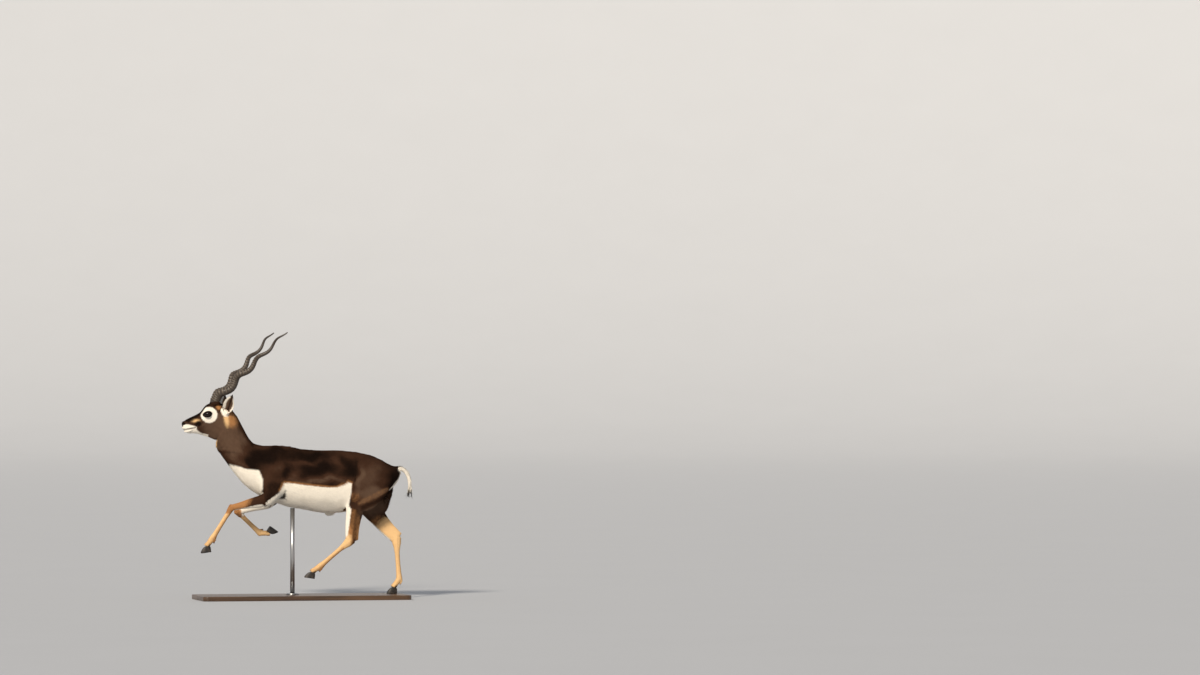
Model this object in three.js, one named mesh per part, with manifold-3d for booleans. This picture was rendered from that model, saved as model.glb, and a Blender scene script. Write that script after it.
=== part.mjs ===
// A blackbuck buck at the gallop, life size, held over a flat base by one rod.
// Millimetres, +Z up. The animal faces -X and its left side is towards -Y.
// While it is built, Z = 0 is the top of the base and X = 0 is near the last rib; the whole
// is moved at the end so that the origin is the bottom centre of its bounding box.
import * as THREE from "three";
import Module from "manifold-3d";

const wasm = await Module();
wasm.setup();

// Driving sizes
const GAP = 0.3; // left between solids that meet
const CLEAR = 0.4; // growth of a solid that cuts its socket in a neighbour
const HEAD = { x: -350, z: 850, pitch: 12 }; // head frame: behind the ears, nose 12 degrees down
const EYE = { along: 84, up: 36, out: 39.5, radius: 19, lid: 3.2, long: 17.5, high: 12.2, tear: 4 };
const HORN = {
  root: [33.3, 89.7, 24], length: 488, base: 20, tip: 2.6, rise: 46.3, splay: 19.7,
  turns: 3.75, phase: -111.7, swing: 12.2, taper: 0.52, sunk: 0.055, rings: 24,
};
const EAR = { width: 29, depth: 15, wall: 3.4 };
const FORE = { forearm: 197, cannon: 170, pastern: 52 };
const HIND = { femur: 190, shank: 209, cannon: 190, pastern: 52 };
const HOOF = { length: 46, height: 29, width: 15.5, cleft: 1.4 };
const BASE = { length: 1010, width: 380, height: 22, corner: 26, bevel: 3, centre: 22 };
const ROD = { radius: 11, x: -22, collar: 30, collarHeight: 9 };

// Poses: the direction of each bone in the sagittal plane, in degrees from +X towards +Z, and
// how far each joint lies from the middle
const POSES = {
  foreleg_left: {
    side: -1, elbow: [-136, 468], forearm: 193.6, cannon: 237.6, pastern: 234, toe: 188, spread: [74, 50, 46, 44],
  },
  foreleg_right: {
    side: 1, elbow: [-96, 462], forearm: 198.6, cannon: 318, pastern: 359, toe: 325, spread: [74, 44, 110, 114],
  },
  hindleg_left: {
    side: -1, femur: 218.5, shank: 269, cannon: 220.1, pastern: 215, toe: 172, spread: [64, 80, 60, 50, 47],
  },
  hindleg_right: {
    side: 1, femur: 253.5, shank: 316, cannon: 273.5, pastern: 233.6, toe: 180, spread: [64, 78, 60, 50, 47],
  },
};
const HIP = [400, 588];

// Colours, in the order of the slots
const COLOURS = {
  coat_dark: [0x3a2318, 0.8],
  coat_tan: [0xb5824e, 0.8],
  coat_white: [0xe9e0cf, 0.85],
  horn: [0x4a3f33, 0.55],
  hoof: [0x2a211d, 0.45],
  eye: [0x120b08, 0.08],
  stand: [0x3b2a20, 0.4],
  steel: [0x8a8c8e, 0.35],
};

const rad = THREE.MathUtils.degToRad;
const sagittal = (angle, length) => [Math.cos(rad(angle)) * length, Math.sin(rad(angle)) * length];
const LATERAL = new THREE.Vector3(0, 1, 0);

/** Smooth value through evenly spaced samples, at t from 0 to 1. */
function through(values, t) {
  const last = values.length - 1;
  const i = Math.min(Math.floor(t * last), last - 1);
  const f = t * last - i;
  const [b, c] = [values[i], values[i + 1]];
  const a = i > 0 ? values[i - 1] : 2 * b - c;
  const d = i < last - 1 ? values[i + 2] : 2 * c - b;
  return 0.5 * (2 * b + (c - a) * f + (2 * a - 5 * b + 4 * c - d) * f * f + (3 * b - a - 3 * c + d) * f ** 3);
}

/** Solid of a closed indexed geometry, turned outwards. */
function solidOf(positions, indices) {
  const make = (order) =>
    new wasm.Manifold(
      new wasm.Mesh({ numProp: 3, vertProperties: new Float32Array(positions), triVerts: new Uint32Array(order) }),
    );
  const made = make(indices);
  if (made.volume() > 0) return made;
  return make(indices.flatMap((_, i) => (i % 3 ? [] : [indices[i], indices[i + 2], indices[i + 1]])));
}

/** Solid through rings of equal size, closed by a point at each end. */
function solidOfRings(rings, first, last) {
  const sides = rings[0].length;
  const points = [first, ...rings.flat(), last];
  const end = points.length - 1;
  const at = (ring, side) => 1 + ring * sides + (side % sides);
  const faces = [];
  for (let j = 0; j < sides; j++) {
    faces.push(0, at(0, j + 1), at(0, j), end, at(rings.length - 1, j), at(rings.length - 1, j + 1));
    for (let i = 0; i + 1 < rings.length; i++) {
      faces.push(at(i, j), at(i, j + 1), at(i + 1, j + 1), at(i, j), at(i + 1, j + 1), at(i + 1, j));
    }
  }
  return solidOf(points.flatMap((p) => [p.x, p.y, p.z]), faces);
}

/** Solid of a ring-shaped tube, whose path comes back to its start. */
function solidOfLoop(rings) {
  const [count, sides] = [rings.length, rings[0].length];
  const at = (ring, side) => (ring % count) * sides + (side % sides);
  const faces = [];
  for (let i = 0; i < count; i++) {
    for (let j = 0; j < sides; j++) {
      faces.push(at(i, j), at(i, j + 1), at(i + 1, j + 1), at(i, j), at(i + 1, j + 1), at(i + 1, j));
    }
  }
  return solidOf(rings.flat().flatMap((p) => [p.x, p.y, p.z]), faces);
}

/** Solid of a three.js geometry that is closed once its shared vertices are one. */
function solidOfGeometry(geometry) {
  const source = geometry.index ? geometry.toNonIndexed() : geometry;
  const place = source.getAttribute("position");
  const [seen, points, faces] = [new Map(), [], []];
  for (let i = 0; i < place.count; i++) {
    const p = [place.getX(i), place.getY(i), place.getZ(i)];
    const key = p.map((v) => Math.round(v * 1e4)).join();
    if (!seen.has(key)) {
      seen.set(key, points.length / 3);
      points.push(...p);
    }
    faces.push(seen.get(key));
  }
  const whole = faces.flatMap((_, i) => {
    const [a, b, c] = [faces[i], faces[i + 1], faces[i + 2]];
    return i % 3 || a === b || b === c || c === a ? [] : [a, b, c];
  });
  return solidOf(points, whole);
}

/** Largest closed body of a solid. */
function largest(solid) {
  return solid.decompose().reduce((a, b) => (b.volume() > a.volume() ? b : a));
}

const union = (solids) => solids.reduce((a, b) => a.add(b));

/** Ellipsoid with its centre and three radii along X, Y and Z, pitched about Y. */
function ellipsoid([x, y, z], [rx, ry, rz], pitch = 0, sides = 10) {
  const ball = new THREE.SphereGeometry(1, sides, Math.ceil(sides * 0.7)).scale(rx, ry, rz);
  return solidOfGeometry(ball.rotateY(rad(pitch)).translate(x, y, z));
}

/**
 * Solid of the trunk, neck and head. Each station is a section that holds its top and under
 * points in the sagittal plane, its half width, how high the widest level lies, and the
 * squareness of its roof and keel, where 2 is an ellipse.
 */
function bodyOf(stations, { perStation, sides, grow = 0 }) {
  const count = (stations.length - 1) * perStation;
  const size = (key, t) => through(stations.map(key), t);
  const rings = [];
  for (let i = 0; i <= count; i++) {
    const t = i / count;
    const top = new THREE.Vector2(size((s) => s.top[0], t), size((s) => s.top[1], t));
    const under = new THREE.Vector2(size((s) => s.under[0], t), size((s) => s.under[1], t));
    const up = top.clone().sub(under).normalize();
    top.addScaledVector(up, grow);
    under.addScaledVector(up, -grow);
    const half = size((s) => s.half, t) + grow;
    const middle = under.clone().lerp(top, size((s) => s.widest, t));
    const [roof, keel] = [size((s) => s.roof, t), size((s) => s.keel, t)];
    const ring = [];
    for (let j = 0; j < sides; j++) {
      const angle = (2 * Math.PI * j) / sides;
      const [s, c] = [Math.sin(angle), Math.cos(angle)];
      const power = 2 / (c >= 0 ? roof : keel);
      const level = middle.clone().lerp(c >= 0 ? top : under, Math.abs(c) ** power);
      ring.push(new THREE.Vector3(level.x, Math.sign(s) * Math.abs(s) ** power * half, level.y));
    }
    rings.push(ring);
  }
  const middleOf = (ring) => ring.reduce((a, p) => a.add(p), new THREE.Vector3()).divideScalar(ring.length);
  const [rump, nose] = [middleOf(rings[0]), middleOf(rings[rings.length - 1])];
  rump.x += RUMP_END + grow;
  nose.x -= NOSE_END + grow;
  return solidOfRings(rings, rump, nose);
}

/**
 * Solid swept along a limb. Each station holds its place, its depth in front of and behind the
 * path, and its half width. Rounded ends reach past the path by the two dome lengths.
 */
function limbOf(stations, { perStation = 3, sides = 12, domes = [8, 8], square = 2, grow = 0 }) {
  const path = new THREE.CatmullRomCurve3(stations.map((s) => new THREE.Vector3(...s.at)), false, "centripetal");
  const count = (stations.length - 1) * perStation;
  const ringAt = (t, share, shift) => {
    const along = path.getTangent(t);
    const wide = LATERAL.clone().addScaledVector(along, -along.y).normalize();
    const front = wide.clone().cross(along);
    const centre = path.getPoint(t).addScaledVector(along, shift);
    const size = (key) => (through(stations.map((s) => s[key]), t) + grow) * share;
    const [fore, aft, half] = ["fore", "aft", "half"].map(size);
    return Array.from({ length: sides }, (_, j) => {
      const angle = (2 * Math.PI * (j + 0.5)) / sides;
      const [s, c] = [Math.sin(angle), Math.cos(angle)];
      const reach = Math.sign(c) * Math.abs(c) ** (2 / square) * (c >= 0 ? fore : aft);
      return centre
        .clone()
        .addScaledVector(front, reach)
        .addScaledVector(wide, Math.sign(s) * Math.abs(s) ** (2 / square) * half);
    });
  };
  const rings = [];
  const [start, finish] = domes.map((d) => d + grow);
  rings.push(ringAt(0, 0.72, -start * 0.7));
  for (let i = 0; i <= count; i++) rings.push(ringAt(i / count, 1, 0));
  rings.push(ringAt(1, 0.72, finish * 0.7));
  const pole = (t, shift) => path.getPoint(t).addScaledVector(path.getTangent(t), shift);
  return solidOfRings(rings, pole(0, -start), pole(1, finish));
}

/** Point of the head frame, along towards the nose, up and out to the side, in the part's frame. */
function headPoint(along, up, out) {
  const [c, s] = [Math.cos(rad(HEAD.pitch)), Math.sin(rad(HEAD.pitch))];
  return new THREE.Vector3(HEAD.x - c * along - s * up, out, HEAD.z - s * along + c * up);
}

const headSection = (top, under, half, widest, roof, keel) => {
  const [t, u] = [headPoint(...top, 0), headPoint(...under, 0)];
  return { top: [t.x, t.z], under: [u.x, u.z], half, widest, roof, keel };
};

const RUMP_END = 7;
const NOSE_END = 4;
const section = (top, under, half, widest, roof, keel) => ({ top, under, half, widest, roof, keel });

// Rump, loins, barrel, chest and neck, from the tail forwards
const TRUNK = [
  section([502, 596], [500, 566], 22, 0.5, 2, 2),
  section([484, 610], [486, 528], 48, 0.55, 2, 2),
  section([450, 632], [462, 500], 68, 0.6, 2, 2),
  section([412, 653], [425, 474], 81, 0.62, 1.9, 2),
  section([366, 677], [372, 448], 88, 0.62, 1.8, 2),
  section([318, 690], [320, 424], 95, 0.56, 1.8, 2),
  section([266, 697], [266, 403], 106, 0.5, 1.9, 2.1),
  section([205, 703], [206, 393], 117, 0.46, 1.9, 2.2),
  section([140, 706], [138, 391], 122, 0.45, 1.9, 2.2),
  section([72, 706], [70, 401], 121, 0.45, 1.85, 2.1),
  section([12, 711], [8, 411], 114, 0.45, 1.75, 2),
  section([-48, 727], [-56, 420], 105, 0.45, 1.6, 1.9),
  section([-104, 730], [-118, 440], 98, 0.45, 1.6, 1.8),
  section([-158, 727], [-178, 468], 92, 0.46, 1.7, 1.8),
  section([-202, 732], [-231, 499], 84, 0.47, 1.8, 1.9),
  section([-226, 752], [-275, 547], 75, 0.48, 1.9, 2),
  section([-243, 779], [-315, 596], 67, 0.48, 2, 2),
  section([-258, 808], [-347, 640], 60, 0.48, 2, 2),
  section([-275, 843], [-376, 681], 56, 0.49, 2, 2),
  section([-295, 876], [-393, 717], 54, 0.5, 2, 2),
];
const SKULL = [
  headSection([-36, 46], [61, -95], 53, 0.55, 2.1, 1.8),
  headSection([-8, 66], [70, -91], 50, 0.6, 2.1, 1.6),
  headSection([18, 78], [78, -86], 48, 0.62, 2.2, 1.5),
  headSection([42, 84], [87, -80], 48, 0.66, 2.3, 1.45),
  headSection([62, 84], [97, -73], 49, 0.69, 2.4, 1.4),
  headSection([80, 77], [109, -67], 47, 0.7, 2.5, 1.4),
  headSection([95, 65], [121, -60], 42, 0.66, 2.4, 1.5),
  headSection([111, 53], [133, -53], 36, 0.58, 2.2, 1.7),
  headSection([130, 46], [147, -46], 32, 0.52, 2.1, 1.9),
  headSection([150, 41], [162, -41], 29, 0.5, 2.1, 2.1),
  headSection([169, 37], [175, -38], 27, 0.5, 2.1, 2.2),
  headSection([186, 32], [188, -35], 26.5, 0.52, 2.1, 2.2),
  headSection([199, 26], [198, -28], 23.5, 0.56, 2.1, 2.1),
  headSection([208, 17], [206, -16], 16, 0.56, 2, 2),
];
const WHOLE = [...TRUNK, ...SKULL];
const wholeBody = (grow) => bodyOf(WHOLE, { perStation: 2, sides: 18, grow });

/** Half space in front of a line through two sagittal points, moved forwards by a shift. */
function frontOf([ax, az], [bx, bz], shift) {
  const size = 3000;
  const along = new THREE.Vector3(ax - bx, 0, az - bz).normalize();
  const forwards = new THREE.Vector3(-along.z, 0, along.x);
  const box = new THREE.BoxGeometry(size, size, size);
  box.applyMatrix4(new THREE.Matrix4().makeBasis(forwards, LATERAL, along.clone().negate()));
  const centre = new THREE.Vector3((ax + bx) / 2, 0, (az + bz) / 2).addScaledVector(forwards, size / 2 + shift);
  return solidOfGeometry(box.translate(centre.x, 0, centre.z));
}

/** Joints of a leg, from the first one down, for its bone lengths and its pose. */
function jointsOf(pose, first, bones) {
  const joints = [[first[0], pose.side * pose.spread[0], first[1]]];
  for (const [name, length] of Object.entries(bones)) {
    const [x, y, z] = joints.at(-1);
    const side = pose.side * pose.spread[joints.length];
    const [dx, dz] = sagittal(pose[name], Math.sqrt(length ** 2 - (side - y) ** 2));
    joints.push([x + dx, side, z + dz]);
  }
  return joints;
}

const foreJoints = (pose) => jointsOf(pose, pose.elbow, FORE);
const hindJoints = (pose) => jointsOf(pose, HIP, HIND);

const between = (a, b, f) => a.map((v, i) => v + (b[i] - v) * f);
const station = (at, fore, aft, half) => ({ at, fore, aft, half });

/** Stations below the knee or hock: cannon bone, fetlock and pastern. */
function footStations(knee, fetlock, coronet) {
  return [
    station(between(knee, fetlock, 0.34), 11.5, 12.5, 10.5),
    station(between(knee, fetlock, 0.62), 10.5, 12, 10),
    station(between(knee, fetlock, 0.86), 11, 14, 11.5),
    station(between(fetlock, coronet, 0), 14, 19, 15),
    station(between(fetlock, coronet, 0.5), 12, 13.5, 13.5),
    station(between(fetlock, coronet, 0.9), 14, 15, 15.5),
  ];
}

/** Two small claws behind the fetlock. */
function dewclaws(fetlock, coronet, side) {
  const down = new THREE.Vector3(...coronet).sub(new THREE.Vector3(...fetlock)).normalize();
  const wide = LATERAL.clone().addScaledVector(down, -down.y).normalize();
  const back = wide.clone().cross(down).negate();
  return union(
    [-1, 1].map((s) => {
      const root = new THREE.Vector3(...fetlock).addScaledVector(back, 14).addScaledVector(wide, s * 8 * side);
      const tip = root.clone().addScaledVector(back, 6).addScaledVector(down, 15);
      return limbOf([station(root.toArray(), 5, 5, 4.5), station(tip.toArray(), 2.2, 2.2, 2)], {
        perStation: 1, sides: 5, domes: [2, 2],
      });
    }),
  );
}

/** A foreleg from the top of the shoulder blade to the coronet. */
function foreleg(pose, grow = 0) {
  const [elbow, knee, fetlock, coronet] = foreJoints(pose);
  const s = pose.side;
  const upper = limbOf(
    [
      station([-82, s * 46, 690], 22, 26, 12),
      station([-100, s * 66, 640], 44, 44, 26),
      station([(elbow[0] - 108) / 2 + 4, s * 76, 585], 60, 60, 34),
      station([elbow[0] * 0.8 - 20, s * 78, 525], 62, 58, 35),
      station([elbow[0] - 4, s * 74, 470], 44, 44, 31),
      station(between(elbow, knee, 0.25), 32, 40, 28),
      station(between(elbow, knee, 0.5), 26, 30, 23),
      station(between(elbow, knee, 0.78), 19, 21, 18.5),
      station(between(elbow, knee, 0.94), 18, 19, 17.5),
    ],
    { perStation: 2, sides: 12, domes: [10, 16], square: 2.1, grow },
  );
  const lower = limbOf(
    [
      station(between(knee, fetlock, -0.04), 18, 17, 17),
      station(between(knee, fetlock, 0.06), 17.5, 17, 16.5),
      station(between(knee, fetlock, 0.18), 13, 15, 13),
      ...footStations(knee, fetlock, coronet),
    ],
    { perStation: 1, sides: 10, domes: [12, 3], square: 2.1, grow },
  );
  const leg = upper.add(lower);
  return grow ? leg : leg.add(dewclaws(fetlock, coronet, s));
}

/** The thigh, from the croup to the stifle. */
function thigh(pose, grow = 0) {
  const [hip, stifle] = hindJoints(pose);
  const s = pose.side;
  return limbOf(
    [
      station(between([hip[0], s * 52, hip[2]], stifle, -0.2), 62, 56, 24),
      station(hip, 78, 88, 38),
      station(between(hip, stifle, 0.4), 70, 112, 41),
      station(between(hip, stifle, 0.8), 52, 112, 36),
      station(between(hip, stifle, 1.06), 28, 82, 25),
    ],
    { perStation: 2, sides: 14, domes: [14, 10], square: 2.2, grow },
  );
}

/** The shank, hock, cannon bone and pastern of a hind leg. */
function shank(pose, grow = 0) {
  const [, stifle, hock, fetlock, coronet] = hindJoints(pose);
  const upper = limbOf(
    [
      station(stifle, 26, 84, 27),
      station(between(stifle, hock, 0.25), 26, 70, 25),
      station(between(stifle, hock, 0.5), 26, 52, 20),
      station(between(stifle, hock, 0.75), 26, 43, 16.5),
      station(between(stifle, hock, 0.97), 23, 41, 16.5),
    ],
    { perStation: 2, sides: 12, domes: [14, 10], square: 2.1, grow },
  );
  const lower = limbOf(
    [
      station(between(hock, fetlock, -0.05), 24, 24, 17.5),
      station(between(hock, fetlock, 0.08), 21, 23, 16.5),
      station(between(hock, fetlock, 0.2), 15, 17, 13.5),
      ...footStations(hock, fetlock, coronet),
    ],
    { perStation: 1, sides: 10, domes: [12, 3], square: 2.1, grow },
  );
  const leg = upper.add(lower);
  return grow ? leg : leg.add(dewclaws(fetlock, coronet, pose.side));
}

/** One toe of a cloven hoof, pointed, with a flat sole. */
function toe(coronet, pose, inner) {
  const [fx, fz] = sagittal(pose.toe, 1);
  const forward = new THREE.Vector3(fx, 0, fz);
  const down = new THREE.Vector3(-fz, 0, fx);
  const start = new THREE.Vector3(...coronet);
  const place = (along, drop, out) =>
    start.clone().addScaledVector(forward, along).addScaledVector(down, drop).addScaledVector(LATERAL, out);
  const shares = [
    [-0.42, 0.1, 0.62], [-0.3, -0.02, 0.86], [-0.05, -0.08, 1], [0.2, 0.02, 0.96], [0.42, 0.34, 0.78], [0.58, 0.7, 0.42],
  ];
  const side = inner ? -pose.side : pose.side;
  const rings = shares.map(([along, top, wide]) => {
    const half = (HOOF.width * wide) / 2;
    const middle = side * (HOOF.cleft + HOOF.width / 2) * (0.94 + 0.06 * wide);
    const [high, low] = [top * HOOF.height, HOOF.height];
    const outline = [[0.75, 0], [1, 0.35], [1.06, 1], [0, 1], [-1.06, 1], [-1, 0.35], [-0.75, 0]];
    return outline.map(([y, z]) => place(along * HOOF.length, high + (low - high) * z, middle + y * half));
  });
  const centreOf = (ring) => ring.reduce((a, p) => a.add(p), new THREE.Vector3()).divideScalar(ring.length);
  const [heel, tip] = [centreOf(rings[0]), centreOf(rings[rings.length - 1])];
  return solidOfRings(rings, heel, tip.addScaledVector(forward, HOOF.length * 0.07).addScaledVector(down, 3));
}

/** A horn: a corkscrew about a straight axis, ringed, with a smooth tip. */
function horn(side) {
  const axis = new THREE.Vector3(Math.cos(rad(HORN.rise)), 0, Math.sin(rad(HORN.rise)));
  axis.addScaledVector(LATERAL, side * Math.tan(rad(HORN.splay))).normalize();
  const front = new THREE.Vector3(-Math.sin(rad(HORN.rise)), 0, Math.cos(rad(HORN.rise)));
  const out = axis.clone().cross(front).multiplyScalar(-side);
  const root = headPoint(HORN.root[0], HORN.root[1], side * HORN.root[2]);
  const skullUp = headPoint(0, 1, 0).sub(headPoint(0, 0, 0));
  const centre = (t) => {
    const free = Math.max(t, 0);
    const turn = 2 * Math.PI * HORN.turns * free + rad(HORN.phase);
    const swing = HORN.swing * Math.min(1, 0.35 + free * 5) * (1 - HORN.taper * free);
    return root
      .clone()
      .addScaledVector(axis, free * HORN.length)
      .addScaledVector(skullUp, (t - free) * HORN.length)
      .addScaledVector(front, Math.cos(turn) * swing)
      .addScaledVector(out, Math.sin(turn) * swing);
  };
  const [perRing, sides, step] = [2, 8, 1e-3];
  const count = Math.round(HORN.rings * perRing);
  const rings = [];
  for (let i = 0; i <= count; i++) {
    const t = -HORN.sunk + (1 + HORN.sunk) * (i / count);
    const along = centre(t + step).sub(centre(t - step)).normalize();
    const a = front.clone().addScaledVector(along, -front.dot(along)).normalize();
    const b = along.clone().cross(a);
    const ridge = THREE.MathUtils.smoothstep(0.84 - t, 0, 0.3) * 0.12;
    const ripple = 1 + ridge * (i % 2 ? 1 : -1);
    const radius = (HORN.tip + (HORN.base - HORN.tip) * (1 - Math.max(t, 0)) ** 0.86) * ripple;
    rings.push(
      Array.from({ length: sides }, (_, j) => {
        const angle = (2 * Math.PI * j) / sides;
        return centre(t)
          .addScaledVector(a, Math.cos(angle) * radius * 1.05)
          .addScaledVector(b, Math.sin(angle) * radius * 0.95);
      }),
    );
  }
  return solidOfRings(rings, centre(-HORN.sunk), centre(1 + HORN.tip / HORN.length));
}

/** An ear: a leaf with a crescent section, open to the side and the front. */
function ear(side) {
  const [root, tip] = [headPoint(8, 10, side * 30), headPoint(-49, 108, side * 106)];
  const axis = tip.clone().sub(root);
  const length = axis.length();
  axis.normalize();
  const open = new THREE.Vector3(-0.5, side * 0.8, -0.15);
  open.addScaledVector(axis, -open.dot(axis)).normalize();
  const wide = axis.clone().cross(open).normalize();
  const [count, half] = [10, 6];
  const rings = [];
  for (let i = 0; i <= count; i++) {
    const t = i / count;
    const width = EAR.width * through([0.4, 0.48, 0.7, 0.93, 1, 0.93, 0.7, 0.37, 0.08], t);
    const depth = EAR.depth * through([0.8, 0.95, 1.1, 1.08, 0.9, 0.7, 0.5, 0.3, 0.12], t);
    const wrap = rad(through([155, 152, 130, 100, 88, 84, 82, 80, 80], t));
    const wall = Math.min(EAR.wall, depth * 0.6);
    const centre = root.clone().addScaledVector(axis, t * length).addScaledVector(open, 9 * t * t);
    const at = (angle, inset) =>
      centre
        .clone()
        .addScaledVector(wide, Math.sin(angle) * (width - inset))
        .addScaledVector(open, -Math.cos(angle) * (depth - inset));
    const ring = [];
    for (let j = 0; j <= half; j++) ring.push(at(wrap * (1 - (2 * j) / half), 0));
    for (let j = half - 1; j > 0; j--) ring.push(at(wrap * (1 - (2 * j) / half), wall));
    rings.push(ring);
  }
  return solidOfRings(rings, root, tip.addScaledVector(open, 9).addScaledVector(axis, 1.5));
}

/** Directions of an eye: out of the socket, towards the nose and upwards. */
function eyeFrame(side) {
  const look = new THREE.Vector3(-0.26, side * 0.96, 0.05).normalize();
  const nose = headPoint(1, 0, 0).sub(headPoint(0, 0, 0));
  nose.addScaledVector(look, -nose.dot(look)).normalize();
  const up = nose.clone().cross(look).multiplyScalar(-side).normalize();
  return { centre: headPoint(EYE.along, EYE.up, side * EYE.out), look, nose, up };
}

const eyeball = (side, grow = 0) => {
  const { centre } = eyeFrame(side);
  return solidOfGeometry(
    new THREE.SphereGeometry(EYE.radius + grow, 14, 9).rotateX(Math.PI / 2).translate(centre.x, centre.y, centre.z),
  );
};

/** Almond-shaped opening between the lids, as a bar from inside the eye outwards. */
function eyeOpening(side) {
  const { centre, look, nose, up } = eyeFrame(side);
  const count = 16;
  const outline = Array.from({ length: count }, (_, i) => {
    const angle = (2 * Math.PI * i) / count;
    const corner = Math.abs(Math.cos(angle)) ** 5;
    const along = EYE.long * Math.cos(angle) + (Math.cos(angle) > 0 ? EYE.tear * corner : 0);
    const rise = EYE.high * Math.sin(angle) * (1 - 0.3 * corner) - 1.5 * Math.cos(angle);
    return [along, rise];
  });
  const ringAt = (depth) =>
    outline.map(([along, rise]) =>
      centre.clone().addScaledVector(nose, along).addScaledVector(up, rise).addScaledVector(look, depth),
    );
  const end = (depth) => centre.clone().addScaledVector(look, depth);
  return solidOfRings([ringAt(3), ringAt(40)], end(3), end(40));
}

/** Upper and lower lids: a shell over the eyeball, which the opening is cut from later. */
const lids = (side) => eyeball(side, EYE.lid);

/** Half space beyond a joint, square to the middle line between its two bones. */
function beyond(above, joint, below, shift) {
  const [a, b, c] = [above, joint, below].map((p) => new THREE.Vector3(...p));
  const line = b.clone().sub(a).normalize().add(c.sub(b).normalize()).normalize();
  const box = new THREE.BoxGeometry(500, 500, 500).translate(250, 0, 0);
  box.applyQuaternion(new THREE.Quaternion().setFromUnitVectors(new THREE.Vector3(1, 0, 0), line));
  const start = b.addScaledVector(line, shift);
  return solidOfGeometry(box.translate(start.x, start.y, start.z));
}

/** A tapered round bar through points of the head frame, each with its own radius. */
function tube(points, { perStation = 2, sides = 7 } = {}) {
  const stations = points.map(([along, up, out, r]) => station(headPoint(along, up, out).toArray(), r, r, r));
  const [first, last] = [points[0][3], points[points.length - 1][3]];
  return limbOf(stations, { perStation, sides, domes: [first, last] });
}

/** The same points on the other side of the head, joined to the first ones through the middle. */
const acrossNose = (points) => [...points, ...points.slice(0, -1).reverse().map(([a, h, y, r]) => [a, h, -y, r])];

/** Ellipsoid of the head frame, with radii along the nose, upwards and outwards. */
function headEllipsoid([along, up, out], [ra, rh, ry], sides = 10) {
  return ellipsoid(headPoint(along, up, out).toArray(), [ra, ry, rh], -HEAD.pitch, sides);
}

/** Raised seat of a horn on the skull. */
const pedicle = (side, grow = 0) => headEllipsoid([34, 79, side * 23.5], [24 + grow, 14 + grow, 21 + grow]);

/** Swelling of the head that an ear's base stands on. */
const earSeat = (side, grow = 0) => headEllipsoid([-3, 22, side * 42], [16 + grow, 20 + grow, 11.5 + grow]);

/** Lips, chin, nostril wings, brows and lids, set on the muzzle and the skull. */
function faceForms() {
  const upperLip = tube(acrossNose([[158, -9, 25, 4], [182, -8, 23.5, 5.5], [201, -4, 15, 6], [208, -3, 0, 5.5]]));
  const lowerLip = tube(acrossNose([[160, -19, 21, 4], [182, -22, 19.5, 6], [198, -22, 12, 6], [203, -22, 0, 5]]));
  const sides = [-1, 1].flatMap((s) => [
    tube([[203, 3, s * 5, 5.5], [204, 13, s * 8, 6.5], [198, 21, s * 12.5, 7], [187, 20, s * 17.5, 6.5]]),
    headEllipsoid([EYE.along - 6, EYE.up + 3, s * 27], [31, 23, 28.5]),
    pedicle(s),
    earSeat(s),
    lids(s),
  ]);
  return union([upperLip, lowerLip, ...sides]);
}

/** Thin cut of the mouth and the two nostrils. */
function faceCuts() {
  const line = [[222, -11], [205, -13], [186, -14.5], [166, -15], [154, -11]];
  const shape = new THREE.Shape([
    ...line.map(([a, h]) => new THREE.Vector2(a, h + 0.9)),
    ...line.reverse().map(([a, h]) => new THREE.Vector2(a, h - 0.9)),
  ]);
  const slab = new THREE.ExtrudeGeometry(shape, { depth: 80, bevelEnabled: false }).translate(0, 0, -40);
  const [o, a, h] = [headPoint(0, 0, 0), headPoint(1, 0, 0), headPoint(0, 1, 0)];
  slab.applyMatrix4(new THREE.Matrix4().makeBasis(a.sub(o), h.sub(o), LATERAL.clone().negate()).setPosition(o));
  const mouth = solidOfGeometry(slab).subtract(wholeBody(-3.5));
  const nostrils = [-1, 1].map((s) => tube([[212, 7, s * 9, 3], [205, 14, s * 17, 3.8], [195, 15, s * 24, 3], [187, 12, s * 28, 1.6]]));
  return [mouth, ...nostrils];
}

/** The tail, raised a little and hanging, with a tuft of flat locks at its end. */
function tail() {
  const path = [[470, 612], [500, 608], [527, 594], [544, 566], [550, 532], [550, 505]];
  const core = limbOf(
    path.map(([x, z], i) => station([x, 0, z], 13 - i * 1.3, 11 - i * 1.1, 15 - i * 1.5)),
    { perStation: 2, sides: 8, domes: [3, 4] },
  );
  const locks = [];
  const [rows, across] = [3, 3];
  for (let row = 0; row < rows; row++) {
    for (let k = 0; k < across; k++) {
      const lean = k - (across - 1) / 2 + (row % 2 ? 0.3 : -0.3);
      const [top, drop] = [546 - row * 17, 46 - row * 4];
      const behind = (k + row) % 2 ? 4 : -4;
      const root = [549 + behind * 0.6, lean * 4, top];
      const middle = [552 + behind * 1.4, lean * 8, top - drop * 0.5];
      const end = [549 + behind * 2, lean * (9 + row * 2), top - drop];
      locks.push(
        limbOf([station(root, 3.4, 3.4, 3.8), station(middle, 3, 3, 3.8), station(end, 0.9, 0.9, 1.1)], {
          perStation: 1, sides: 4, domes: [1, 4],
        }),
      );
    }
  }
  return union([core, ...locks]);
}

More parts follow.
